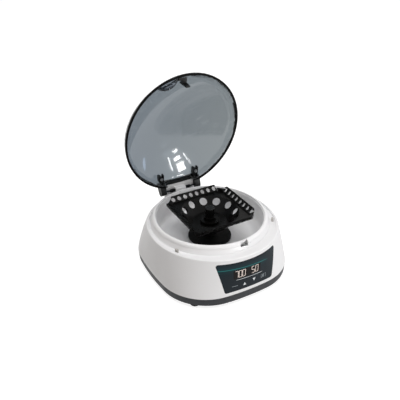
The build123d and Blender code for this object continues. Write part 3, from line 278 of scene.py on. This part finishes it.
# Polycarbonate, injection moulded with a smoke tint: see-through grey, with painted shade that darkens it to the
# left and painted light that brightens it to the right; nearly mirror smooth apart from the grip, whose wall is
# thick enough to look almost black, painted in as a near black band of painted shade that also runs over the dome
# just above it, and whose field has a moulded texture
lidPlastic = {
    # the tint's two ends: painted shade on the left, painted light on the right
    "left": "#757e87", "right": "#878e91", "rough": 0.08, "ior": 1.58, "level": 0.12,
    "waveSize": 30.0, "waveStrength": 0.012, "waveDepth": 0.2, "shadowColour": "#8a8f94",
    "gripLeft": -40.0, "gripRight": -7.6, "gripDepth": 19.3,
    # the grip's wall band is painted near black as painted shade of the wall seen edge on
    "gripWall": 1.8, "wallEdge": 0.4, "wallShadeColour": "#14181c",
    "fieldLight": "#a3abb4", "fieldDark": "#5b646e", "fieldFrom": 0.35, "fieldTo": 0.65,
    "fieldGrain": 3.2, "fieldEdge": 0.6, "fieldRough": 0.2,
    "rimHalfX": 84.1, "rimHalfY": 86.5, "rimBack": -6.05,
    "axisBack": 85.4, "axisHeight": 69.55, "openAngle": 82.2,
}


def gripCircle():
    # centre and radius of the grip's inner arc in the closed lid's plan
    lid = lidPlastic
    left, right, middle = lid["gripLeft"], lid["gripRight"], (lid["gripLeft"] + lid["gripRight"]) / 2
    edge = [lid["rimBack"] - lid["rimHalfY"] * math.sqrt(1 - (x / lid["rimHalfX"]) ** 2)
            for x in (left, middle, right)]
    a, b, c = Vector((left, edge[0])), Vector((middle, edge[1] + lid["gripDepth"])), Vector((right, edge[2]))
    span = 2 * (a.x * (b.y - c.y) + b.x * (c.y - a.y) + c.x * (a.y - b.y))
    x = (a.length_squared * (b.y - c.y) + b.length_squared * (c.y - a.y) + c.length_squared * (a.y - b.y)) / span
    y = (a.length_squared * (c.x - b.x) + b.length_squared * (a.x - c.x) + c.length_squared * (b.x - a.x)) / span
    return Vector((x, y)), (a - Vector((x, y))).length


def makeLidPlastic():
    lid = lidPlastic
    material, shader, place = startMaterial("polycarbonate_smoke_tinted", {
        "IOR": lid["ior"], "Specular IOR Level": lid["level"], "Transmission Weight": 1.0,
    })
    parts = addNode(material, "ShaderNodeSeparateXYZ", {"Vector": place})
    # painted shade and light: the tint runs from darker on the left to lighter on the right
    paintedShadeAcross = addNode(material, "ShaderNodeMapRange", {"Value": parts.outputs["X"]}, {
        "From Min": -lid["rimHalfX"] * millimetre, "From Max": lid["rimHalfX"] * millimetre,
    })
    tint = addNode(material, "ShaderNodeMix", {"Factor": paintedShadeAcross.outputs["Result"]}, {
        firstColour: srgb(lid["left"]), secondColour: srgb(lid["right"]),
    }, data_type="RGBA")
    # distance from the grip's arc in the closed lid's plan: below zero in its field, about zero on its wall
    centre, radius = gripCircle()
    turn = math.radians(lid["openAngle"])
    lidBackward = Vector((0, math.cos(turn), -math.sin(turn)))
    hinge = Vector((0, lid["axisBack"] + axisY / millimetre, lid["axisHeight"]))
    depth = addNode(material, "ShaderNodeVectorMath", {0: place}, {1: lidBackward}, operation="DOT_PRODUCT")
    shift = (lid["axisBack"] - hinge.dot(lidBackward) - centre.y) * millimetre
    depthFrom = addNode(material, "ShaderNodeMath", {0: depth.outputs["Value"]}, {1: shift}, operation="ADD")
    sideFrom = addNode(material, "ShaderNodeMath", {0: parts.outputs["X"]},
                       {1: -centre.x * millimetre}, operation="ADD")
    plan = addNode(material, "ShaderNodeCombineXYZ", {"X": sideFrom.outputs[0], "Y": depthFrom.outputs[0]})
    reach = addNode(material, "ShaderNodeVectorMath", {0: plan.outputs[0]}, operation="LENGTH")
    inside = addNode(material, "ShaderNodeMapRange", {"Value": reach.outputs["Value"]}, {
        "From Min": (radius - lid["gripWall"]) * millimetre,
        "From Max": (radius - lid["gripWall"] - lid["fieldEdge"]) * millimetre,
    })
    wall = addNode(material, "ShaderNodeMapRange", {"Value": reach.outputs["Value"]}, {
        "From Min": (radius + lid["wallEdge"]) * millimetre, "From Max": radius * millimetre,
    })
    grain = addNode(material, "ShaderNodeTexNoise", {"Vector": place},
                    {"Scale": perMillimetre(lid["fieldGrain"]), "Detail": 4.0, "Roughness": 0.7})
    field = addNode(material, "ShaderNodeMapRange", {"Value": grain.outputs["Fac"]},
                    {"From Min": lid["fieldFrom"], "From Max": lid["fieldTo"]})
    speckled = addNode(material, "ShaderNodeMix", {"Factor": field.outputs["Result"]}, {
        firstColour: srgb(lid["fieldDark"]), secondColour: srgb(lid["fieldLight"]),
    }, data_type="RGBA")
    # painted shade: the grip's wall, and the dome just above it, are painted near black
    wallShaded = addNode(material, "ShaderNodeMix", {
        "Factor": wall.outputs["Result"], firstColour: tint.outputs[mixedColour],
    }, {secondColour: srgb(lid["wallShadeColour"])}, data_type="RGBA")
    dressed = addNode(material, "ShaderNodeMix", {
        "Factor": inside.outputs["Result"],
        firstColour: wallShaded.outputs[mixedColour], secondColour: speckled.outputs[mixedColour],
    }, data_type="RGBA")
    wire(material, dressed.outputs[mixedColour], shader.inputs["Base Color"])
    gloss = addNode(material, "ShaderNodeMapRange", {"Value": inside.outputs["Result"]},
                    {"To Min": lid["rough"], "To Max": lid["fieldRough"]})
    wire(material, gloss.outputs["Result"], shader.inputs["Roughness"])
    wave = addNode(material, "ShaderNodeTexNoise", {"Vector": place},
                   {"Scale": perMillimetre(lid["waveSize"]), "Detail": 1.0})
    bump = addNode(material, "ShaderNodeBump", {"Height": wave.outputs["Fac"]},
                   {"Strength": lid["waveStrength"], "Distance": lid["waveDepth"] * millimetre})
    wire(material, bump.outputs["Normal"], shader.inputs["Normal"])
    # light passes straight through for shadows, so the tinted lid casts a soft grey one
    path = addNode(material, "ShaderNodeLightPath")
    clear = addNode(material, "ShaderNodeBsdfTransparent", None, {"Color": srgb(lid["shadowColour"])})
    blend = addNode(material, "ShaderNodeMixShader", {
        0: path.outputs["Is Shadow Ray"], 1: shader.outputs["BSDF"], 2: clear.outputs["BSDF"],
    })
    wire(material, blend.outputs[0], material.node_tree.nodes["Material Output"].inputs["Surface"])
    return material


# Polyester film, screen printed on its back: slate with a thin teal line in a dim teal band, which
# droops to the right and fades out there
panelFilm = {
    "stops": ((0.0, "#181f25"), (0.45, "#192127"), (0.66, "#162329"), (0.782, "#123035"), (0.79, "#2f8583"),
              (0.796, "#2f8583"), (0.803, "#163439"), (0.9, "#18272e"), (1.0, "#171f25")),
    "slate": "#182127", "droop": 2.8, "droopFrom": -36.0, "droopTo": 30.0, "fadeFrom": 21.0, "fadeTo": 31.0,
    "speckSize": 0.7, "speckDark": 0.9, "speckLight": 1.1, "grainStrength": 0.04, "grainDepth": 0.02,
    "rough": 0.3, "ior": 1.6, "level": 0.12,
}


def makePanelFilm():
    material, shader, place = startMaterial("polyester_film_printed", {
        "Roughness": panelFilm["rough"], "IOR": panelFilm["ior"], "Specular IOR Level": panelFilm["level"],
    })
    parts = addNode(material, "ShaderNodeSeparateXYZ", {"Vector": place})
    low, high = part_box("control_panel")
    along = addNode(material, "ShaderNodeMapRange", {"Value": parts.outputs["X"]}, {
        "From Min": panelFilm["droopFrom"] * millimetre, "From Max": panelFilm["droopTo"] * millimetre,
    })
    bow = addNode(material, "ShaderNodeMath", {0: along.outputs["Result"]}, {1: 2.0}, operation="POWER")
    raised = addNode(material, "ShaderNodeMath", {0: bow.outputs[0], 2: parts.outputs["Z"]},
                     {1: panelFilm["droop"] * millimetre}, operation="MULTIPLY_ADD")
    height = addNode(material, "ShaderNodeMapRange", {"Value": raised.outputs[0]},
                     {"From Min": low.z, "From Max": high.z})
    ramp = addNode(material, "ShaderNodeValToRGB", {"Fac": height.outputs["Result"]})
    bands = ramp.color_ramp.elements
    bands[0].color = srgb(panelFilm["stops"][0][1])
    bands[1].color = srgb(panelFilm["stops"][-1][1])
    for position, colour in panelFilm["stops"][1:-1]:
        bands.new(position).color = srgb(colour)
    fade = addNode(material, "ShaderNodeMapRange", {"Value": parts.outputs["X"]}, {
        "From Min": panelFilm["fadeFrom"] * millimetre, "From Max": panelFilm["fadeTo"] * millimetre,
    })
    printed = addNode(material, "ShaderNodeMix", {
        "Factor": fade.outputs["Result"], firstColour: ramp.outputs["Color"],
    }, {secondColour: srgb(panelFilm["slate"])}, data_type="RGBA")
    speck = addNode(material, "ShaderNodeTexNoise", {"Vector": place},
                    {"Scale": perMillimetre(panelFilm["speckSize"]), "Detail": 2.0})
    fleck = addNode(material, "ShaderNodeMapRange", {"Value": speck.outputs["Fac"]}, {
        "From Min": noiseLow, "From Max": noiseHigh,
        "To Min": panelFilm["speckDark"], "To Max": panelFilm["speckLight"],
    })
    tint = addNode(material, "ShaderNodeVectorMath", {
        0: printed.outputs[mixedColour], 1: fleck.outputs["Result"],
    }, operation="MULTIPLY")
    wire(material, tint.outputs[0], shader.inputs["Base Color"])
    bump = addNode(material, "ShaderNodeBump", {"Height": speck.outputs["Fac"]},
                   {"Strength": panelFilm["grainStrength"], "Distance": panelFilm["grainDepth"] * millimetre})
    wire(material, bump.outputs["Normal"], shader.inputs["Normal"])
    return material


# Acrylic window over the segments: brown black where they glow, slate beyond them
windowAcrylic = {
    "dark": "#0e0a09", "slate": "#182127", "darkUntil": 16.5, "slateFrom": 17.5, "dustSize": 1.5,
    "roughLow": 0.12, "roughHigh": 0.2, "grainStrength": 0.05, "grainDepth": 0.02, "ior": 1.49, "level": 0.18,
}


def makeWindow():
    material, shader, place = startMaterial("acrylic_dark_window", {
        "IOR": windowAcrylic["ior"], "Specular IOR Level": windowAcrylic["level"],
    })
    parts = addNode(material, "ShaderNodeSeparateXYZ", {"Vector": place})
    across = addNode(material, "ShaderNodeMapRange", {"Value": parts.outputs["X"]}, {
        "From Min": windowAcrylic["darkUntil"] * millimetre, "From Max": windowAcrylic["slateFrom"] * millimetre,
    })
    tint = addNode(material, "ShaderNodeMix", {"Factor": across.outputs["Result"]}, {
        firstColour: srgb(windowAcrylic["dark"]), secondColour: srgb(windowAcrylic["slate"]),
    }, data_type="RGBA")
    wire(material, tint.outputs[mixedColour], shader.inputs["Base Color"])
    dust = addNode(material, "ShaderNodeTexNoise", {"Vector": place}, {
        "Scale": perMillimetre(windowAcrylic["dustSize"]), "Detail": 3.0,
    })
    addGlossAndRelief(material, shader, dust, dust, windowAcrylic)
    return material


finishes = {
    "housing_plastic": makePlastic("abs_white_polished_moulding", housingPlastic),
    "tray_plastic": makePlastic("abs_charcoal_spark_grain", trayPlastic),
    "foot_rubber": makePlastic("nitrile_rubber_moulded", footRubber),
    "screw_steel": makeMetal("steel_zinc_plated", screwZinc),
    "bowl_steel": makeBowlMetal(),
    "boot_rubber": makePlastic("silicone_rubber_black", bootRubber),
    "rotor_plastic": makePlastic("polypropylene_black_moulded", rotorPlastic),
    "knob_plastic": makePlastic("acetal_black_turned", knobPlastic),
    "plated_steel": makeMetal("steel_nickel_plated", platedSteel),
    "stator_iron": makeMetal("iron_lacquered_windings", statorIron),
    "bracket_aluminium": makeMetal("aluminium_mill_sheet", platedSteel),
    "rod_steel": makeMetal("steel_spring_blued", rodSteel),
    "lid_plastic": makeLidPlastic(),
    "seal_rubber": makePlastic("tpe_black_extruded", sealRubber),
    "yoke_plastic": makePlastic("polyamide_glass_filled", yokePlastic),
    "panel_film": makePanelFilm(),
    "display_glass": makeWindow(),
    "board_laminate": makePlastic("glass_fibre_laminate", boardLaminate),
    "switch_plastic": makePlastic("polyamide_black_moulded", switchPlastic),
    "rocker_plastic": makePlastic("polyamide_black_polished", rockerPlastic),
    "bumper_rubber": makePlastic("tpe_grey_moulded", bumperRubber),
}
print("finishes made:", len(finishes))

# Each CAD node gets the finish of its slot, and those named here a small bevel where two faces meet
bevelWidths = {
    "upper_housing": 0.5, "base_tray": 0.5, "rotor": 0.3, "rotor_knob": 0.4, "hinge_yoke": 0.3, "lid_seal": 0.4,
    "latch_hook": 0.25, "control_panel": 0.15, "switch_frame": 0.4, "power_rocker": 0.3, "power_inlet": 0.3,
    "ledge_bumpers": 0.3, "rubber_feet": 0.4, "lid_screws": 0.2,
}
bevelShape = {"segments": 2, "angle": 32}
poleWeld = 0.01  # the lid's corners nearer to each other than this are welded
slotOf = {entry["node"]: entry["material_slot"] for entry in frame["record"]["subparts"]}
for name, item in nodes.items():
    item.data.materials.clear()
    item.data.materials.append(finishes[slotOf[name]])
    if name in bevelWidths:
        bevel = item.modifiers.new("edgeBevel", "BEVEL")
        bevel.width = bevelWidths[name] * millimetre
        bevel.segments = bevelShape["segments"]
        bevel.limit_method = "ANGLE"
        bevel.angle_limit = math.radians(bevelShape["angle"])
    if name == "lid_dome":
        # the clear dome shows every uneven normal, so the faces at its pole are welded and its shading evened
        weld = item.modifiers.new("poleWeld", "WELD")
        weld.merge_threshold = poleWeld * millimetre
        even = item.modifiers.new("evenNormals", "WEIGHTED_NORMAL")
        even.mode = "FACE_AREA_WITH_ANGLE"
print("nodes dressed")

# Marks on the panel, each drawn in millimetres on the row's X and Z and laid on the surface behind it
ledLight = {"colour": "#fff4ec", "warm": "#ffeadd", "body": "#4a403c", "glow": 1.3, "coreSize": 1.2, "rough": 0.4}
printInk = {"colour": "#e8ecee", "colourOther": "#d4d9dc", "cloudSize": 1.5, "smearSize": 1.0,
            "roughLow": 0.4, "roughHigh": 0.5, "grainSize": 0.5, "grainStrength": 0.2, "grainDepth": 0.02,
            "ior": 1.5, "level": 0.5}
faintInk = dict(printInk, colour="#a3adb2", colourOther="#929ca1")
digitDrawing = {
    "width": 4.25, "height": 9.4, "stroke": 0.42, "gap": 0.06, "lean": 0.05, "low": 39.2,
    "places": (("7", -19.6), ("0", -14.7), ("0", -9.8), ("5", 3.3), ("0", 8.9)),
    "segments": {"0": "abcdef", "5": "afgcd", "7": "abc"},
}
markDrawing = {
    "lift": 0.12, "windowLift": 0.05, "cell": 0.9, "halvings": 6,
    "window": (-21.5, 37.8, 17.6, 49.2), "underline": (-17.4, 36.1, 19.6, 35.6, 0.55),
    "arrow": 4.2, "up": (-6.4, 27.6), "down": (7.3, 28.9),
    "dashes": ((-22.6, 28.0), (-19.9, 28.0), (-17.2, 28.0)), "dashSize": (1.9, 0.55),
    "keyBox": (18.2, 26.4, 25.4, 30.9), "boxStroke": 0.3,
    "words": (("ON", 20.1, 29.0), ("OFF", 19.3, 27.0)), "letterSize": 1.3, "letterStroke": 0.28,
}
# strokes of the letters, on a height of one
glyphs = {
    "O": (((0, 0), (0, 1), (0.7, 1), (0.7, 0), (0, 0)),),
    "N": (((0, 0), (0, 1), (0.7, 0), (0.7, 1)),),
    "F": (((0, 0), (0, 1), (0.7, 1)), ((0, 0.5), (0.6, 0.5))),
}


def makeLedLight():
    material, shader, place = startMaterial("led_segment_diffuser", {
        "Base Color": srgb(ledLight["body"]), "Roughness": ledLight["rough"],
    })
    haze = addNode(material, "ShaderNodeTexNoise", {"Vector": place},
                   {"Scale": perMillimetre(ledLight["coreSize"])})
    tint = addNode(material, "ShaderNodeMix", {"Factor": haze.outputs["Fac"]}, {
        firstColour: srgb(ledLight["colour"]), secondColour: srgb(ledLight["warm"]),
    }, data_type="RGBA")
    wire(material, tint.outputs[mixedColour], shader.inputs["Emission Color"])
    shader.inputs["Emission Strength"].default_value = ledLight["glow"]
    return material


def bar(x0, z0, x1, z1, width):
    # the four corners of a straight stroke between two points
    along = Vector((x1 - x0, z1 - z0)).normalized() * width / 2
    side = Vector((-along.y, along.x))
    ends = (Vector((x0, z0)) - along, Vector((x1, z1)) + along)
    return [tuple(p) for p in (ends[0] - side, ends[1] - side, ends[1] + side, ends[0] + side)]


def digitShapes(character, left):
    # each segment is a bar with pointed ends, and the whole digit leans to the right
    digit = digitDrawing
    half = digit["stroke"] / 2
    low, high = digit["low"] + half, digit["low"] + digit["height"] - half
    middle = digit["low"] + digit["height"] / 2
    west, east = left + half, left + digit["width"] - half
    runs = {
        "a": (west, high, east, high), "b": (east, high, east, middle), "c": (east, middle, east, low),
        "d": (west, low, east, low), "e": (west, middle, west, low), "f": (west, high, west, middle),
        "g": (west, middle, east, middle),
    }
    shapes = []
    for name in digit["segments"][character]:
        x0, z0, x1, z1 = runs[name]
        along = Vector((x1 - x0, z1 - z0)).normalized()
        side = Vector((-along.y, along.x)) * half
        start, end = Vector((x0, z0)) + along * digit["gap"], Vector((x1, z1)) - along * digit["gap"]
        inStart, inEnd = start + along * half, end - along * half
        outline = [start, inStart - side, inEnd - side, end, inEnd + side, inStart + side]
        shapes.append([(p.x + (p.y - low) * digit["lean"], p.y) for p in outline])
    return shapes


def wordShapes(word, left, low, size, width):
    shapes = []
    for character in word:
        for line in glyphs[character]:
            for (x0, z0), (x1, z1) in zip(line, line[1:]):
                shapes.append(bar(left + x0 * size, low + z0 * size, left + x1 * size, low + z1 * size, width))
        left += size
    return shapes


def surfaceTree(*names):
    points, faces = [], []
    for name in names:
        mesh = nodes[name].data
        first = len(points)
        points += [v.co.copy() for v in mesh.vertices]
        faces += [[first + i for i in p.vertices] for p in mesh.polygons]
    return BVHTree.FromPolygons(points, faces)


def addPiece(name, drawing, material, body):
    # the finished drawing becomes a piece of its own
    bmesh.ops.recalc_face_normals(drawing, faces=drawing.faces[:])
    mesh = bpy.data.meshes.new(name)
    drawing.to_mesh(mesh)
    drawing.free()
    mesh.materials.append(material)
    piece = bpy.data.objects.new(name, mesh)
    scene.collection.objects.link(piece)
    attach(piece, body)


def layShapes(name, shapes, tree, body, material, lift):
    # cut each shape into small cells, then lay every corner on the first surface met from the front
    drawing = bmesh.new()
    for shape in shapes:
        drawing.faces.new([drawing.verts.new((x, rayStart, z)) for x, z in shape])
    bmesh.ops.triangulate(drawing, faces=drawing.faces[:])
    for _ in range(markDrawing["halvings"]):
        longEdges = [e for e in drawing.edges if e.calc_length() > 2 * markDrawing["cell"] * millimetre]
        if not longEdges:
            break
        bmesh.ops.subdivide_edges(drawing, edges=longEdges, cuts=1)
        bmesh.ops.triangulate(drawing, faces=drawing.faces[:])
    for corner in drawing.verts:
        hit, normal, _, _ = tree.ray_cast(corner.co, backward)
        if normal.dot(backward) > 0:
            normal = -normal
        corner.co = hit + normal * lift * millimetre
    addPiece(name, drawing, material, body)


# Millimetres of the drawing to metres of the scene
def inMetres(shapes):
    return [[(x * millimetre, z * millimetre) for x, z in shape] for shape in shapes]


def markPanel():
    marks = markDrawing
    front = surfaceTree("control_panel", "display_module")
    ink = makePlastic("screen_ink_white", printInk)
    faint = makePlastic("screen_ink_grey", faintInk)
    led = makeLedLight()
    x0, z0, x1, z1 = marks["window"]
    layShapes("displayWindow", inMetres([[(x0, z0), (x1, z0), (x1, z1), (x0, z1)]]), front, "housing",
              finishes["display_glass"], marks["windowLift"])
    digits = []
    for character, left in digitDrawing["places"]:
        digits += digitShapes(character, left)
    layShapes("displayDigits", inMetres(digits), front, "housing", led, marks["lift"])
    half = marks["arrow"] / 2
    x, z = marks["up"]
    arrows = [[(x - half, z - half), (x + half, z - half), (x, z + half)]]
    x, z = marks["down"]
    arrows.append([(x - half, z + half), (x, z - half), (x + half, z + half)])
    arrows.append(bar(*marks["underline"]))
    layShapes("panelMarks", inMetres(arrows), front, "housing", ink, marks["lift"])
    x0, z0, x1, z1 = marks["keyBox"]
    corners = ((x0, z0), (x1, z0), (x1, z1), (x0, z1))
    labels = [bar(*start, *end, marks["boxStroke"]) for start, end in zip(corners, corners[1:] + corners[:1])]
    for word, left, low in marks["words"]:
        labels += wordShapes(word, left, low, marks["letterSize"], marks["letterStroke"])
    wide, thick = marks["dashSize"]
    labels += [bar(x - wide / 2, z, x + wide / 2, z, thick) for x, z in marks["dashes"]]
    layShapes("panelLabels", inMetres(labels), front, "housing", faint, marks["lift"])


markPanel()
print("panel marked")

# Beside the slot the latch's pocket comes through the ring's face by a sliver; a thin wall of the ring's
# plastic covers its right part
sliver = {
    "left": 14.5, "right": 16.5, "columns": 5, "top": 69.35, "lowLeft": 68.05, "lowRight": 67.1,
    "lift": 0.04, "depth": 0.2,
}


def closeSliver():
    front = surfaceTree("upper_housing")
    wall = bmesh.new()
    columns = []
    for i in range(sliver["columns"]):
        share = i / (sliver["columns"] - 1)
        x = sliver["left"] + (sliver["right"] - sliver["left"]) * share
        low = sliver["lowLeft"] + (sliver["lowRight"] - sliver["lowLeft"]) * share
        corners = []
        for z in (low, sliver["top"]):
            hit, normal, _, _ = front.ray_cast(Vector((x * millimetre, rayStart, z * millimetre)), backward)
            corners.append(wall.verts.new(hit + normal * sliver["lift"] * millimetre))
            corners.append(wall.verts.new(hit - normal * sliver["depth"] * millimetre))
        columns.append(corners)
    # four long sides, then the two ends
    for a, b in zip(columns, columns[1:]):
        for i, j in ((0, 2), (2, 3), (3, 1), (1, 0)):
            wall.faces.new((a[i], b[i], b[j], a[j]))
    for end in (columns[0], columns[-1]):
        wall.faces.new([end[i] for i in (0, 1, 3, 2)])
    addPiece("ringWall", wall, finishes["housing_plastic"], "housing")


closeSliver()
print("ring closed")

# Floor, world and lamps of a plain white studio
studio = {
    "floorSize": 6.0, "floorDrop": 0.2, "floorColour": "#b4b4b4", "floorRough": 0.9, "floorLevel": 0.1,
    "floorGlow": 0.82, "worldLight": 0.27, "worldColour": "#f8f3ee",
}


def seenDirectly(owner):
    # one for the eye, for a reflection and for what a clear piece shows, so the backdrop is white in all three
    path = addNode(owner, "ShaderNodeLightPath")
    eye = addNode(owner, "ShaderNodeMath", {0: path.outputs["Is Camera Ray"], 1: path.outputs["Is Glossy Ray"]},
                  operation="MAXIMUM")
    both = addNode(owner, "ShaderNodeMath", {0: eye.outputs[0], 1: path.outputs["Is Transmission Ray"]},
                   operation="MAXIMUM")
    return both.outputs[0]


def makeFloor():
    half = studio["floorSize"] / 2
    mesh = bpy.data.meshes.new("studioFloor")
    mesh.from_pydata([(-half, -half, 0), (half, -half, 0), (half, half, 0), (-half, half, 0)], [], [(0, 1, 2, 3)])
    floor = bpy.data.objects.new("studioFloor", mesh)
    scene.collection.objects.link(floor)
    floor.location.z = -studio["floorDrop"] * millimetre  # a little under the feet, so nothing flickers
    material, shader, _ = startMaterial("paper_backdrop_white", {
        "Base Color": srgb(studio["floorColour"]), "Roughness": studio["floorRough"],
        "Specular IOR Level": studio["floorLevel"],
    })
    # to the eye the paper keeps the part's shadow, to a reflection or through a clear piece it is plain white
    glow = addNode(material, "ShaderNodeEmission", None, {"Color": pureWhite, "Strength": studio["floorGlow"]})
    white = addNode(material, "ShaderNodeEmission", None, {"Color": pureWhite, "Strength": 1.0})
    lit = addNode(material, "ShaderNodeAddShader", {0: shader.outputs["BSDF"], 1: glow.outputs[0]})
    mirrored = addNode(material, "ShaderNodeMixShader", {
        0: seenDirectly(material), 1: shader.outputs["BSDF"], 2: white.outputs[0],
    })
    path = addNode(material, "ShaderNodeLightPath")
    shown = addNode(material, "ShaderNodeMixShader", {
        0: path.outputs["Is Camera Ray"], 1: mirrored.outputs[0], 2: lit.outputs[0],
    })
    wire(material, shown.outputs[0], material.node_tree.nodes["Material Output"].inputs["Surface"])
    mesh.materials.append(material)


def makeWorld():
    world = bpy.data.worlds.new("studioWorld")
    scene.world = world
    world.use_nodes = True
    light = addNode(world, "ShaderNodeBackground", None, {
        "Color": srgb(studio["worldColour"]), "Strength": studio["worldLight"],
    })
    white = addNode(world, "ShaderNodeBackground", None, {"Color": pureWhite, "Strength": 1.0})
    shown = addNode(world, "ShaderNodeMixShader", {
        0: seenDirectly(world), 1: light.outputs[0], 2: white.outputs[0],
    })
    wire(world, shown.outputs[0], world.node_tree.nodes["World Output"].inputs["Surface"])


# Soft lamps light the object; the small panes are bright enough to leave their image in the glossy lid
lamps = {
    "keyRight": {"place": (0.95, -1.0, 1.15), "aim": (0, 0, 0.08), "size": (1.1, 1.1), "power": 3.4,
                 "colour": "#fbfaff", "mirrored": False},
    "topSoft": {"place": (-0.15, -0.05, 1.9), "aim": (0, 0, 0.08), "size": (1.6, 1.6), "power": 24.5,
                "colour": "#ffffff", "mirrored": False},
    "fillLeft": {"place": (-1.4, -0.9, 0.6), "aim": (0, 0, 0.08), "size": (1.0, 1.0), "power": 0.9,
                 "colour": "#ffe2c8", "mirrored": False},
    "paneLow": {"place": (0.42, -1.319, 0.368), "aim": (0.01, 0.093, 0.096), "size": (0.225, 0.231), "power": 3.7,
                "colour": "#ffffff", "along": (-0.183, 0.122, 0.976), "mirrored": True},
    "paneMiddle": {"place": (0.398, -1.036, 0.123), "aim": (0.006, 0.097, 0.109), "size": (0.136, 0.069),
                   "power": 1.2, "colour": "#ffffff", "along": (-0.245, -0.099, 0.965), "mirrored": True},
    "paneHigh": {"place": (0.25, -0.55, 0.032), "aim": (0.004, 0.099, 0.119), "size": (0.055, 0.02), "power": 0.13,
                 "colour": "#ffffff", "along": (-0.159, -0.234, 0.959), "mirrored": True},
    "stripLeft": {"place": (0.459, -0.778, 0.17), "aim": (-0.006, 0.095, 0.103), "size": (0.022, 0.246),
                  "power": 0.36, "colour": "#ffffff", "along": (-0.143, -0.025, 0.989), "mirrored": True},
    "stripRight": {"place": (0.156, -0.885, 0.169), "aim": (0.02, 0.095, 0.106), "size": (0.017, 0.242),
                   "power": 0.26, "colour": "#ffffff", "along": (-0.486, -0.037, 0.873), "mirrored": True},
    "blueGlint": {"place": (0.208, -0.056, 0.066), "aim": (-0.048, 0.09, 0.116), "size": (0.015, 0.034),
                  "power": 0.005, "colour": "#c4dcff", "along": (0.177, -0.278, 0.944), "mirrored": True,
                  "shape": "ELLIPSE"},
}


def makeLamps():
    for name, settings in lamps.items():
        light = bpy.data.lights.new(name, "AREA")
        light.shape = settings.get("shape", "RECTANGLE")
        light.size, light.size_y = settings["size"]
        light.energy = settings["power"]
        light.color = srgb(settings["colour"])[:3]
        lamp = bpy.data.objects.new(name, light)
        back = (Vector(settings["place"]) - Vector(settings["aim"])).normalized()
        across = Vector(settings.get("along", (0, 0, 1))).cross(back).normalized()
        turn = Matrix((across, back.cross(across), back)).transposed().to_4x4()
        lamp.matrix_world = Matrix.Translation(settings["place"]) @ turn
        lamp.visible_camera = False
        lamp.visible_transmission = False
        lamp.visible_glossy = settings["mirrored"]
        scene.collection.objects.link(lamp)


# The camera stands where the photograph was taken from
camera = {
    "place": (-300.95, -515.84, 447.16), "ahead": (0.42063, 0.74848, -0.51270), "lens": 47.70, "sensor": 36.0,
    "clipFrom": 10.0,
}


def makeCamera():
    data = bpy.data.cameras.new("photoCamera")
    data.lens = camera["lens"]
    data.sensor_width = camera["sensor"]
    data.clip_start = camera["clipFrom"] * millimetre
    item = bpy.data.objects.new("photoCamera", data)
    item.location = Vector(camera["place"]) * millimetre
    item.rotation_euler = Vector(camera["ahead"]).to_track_quat("-Z", "Y").to_euler()
    scene.collection.objects.link(item)
    scene.camera = item


makeFloor()
makeWorld()
makeLamps()
makeCamera()
print("studio made")
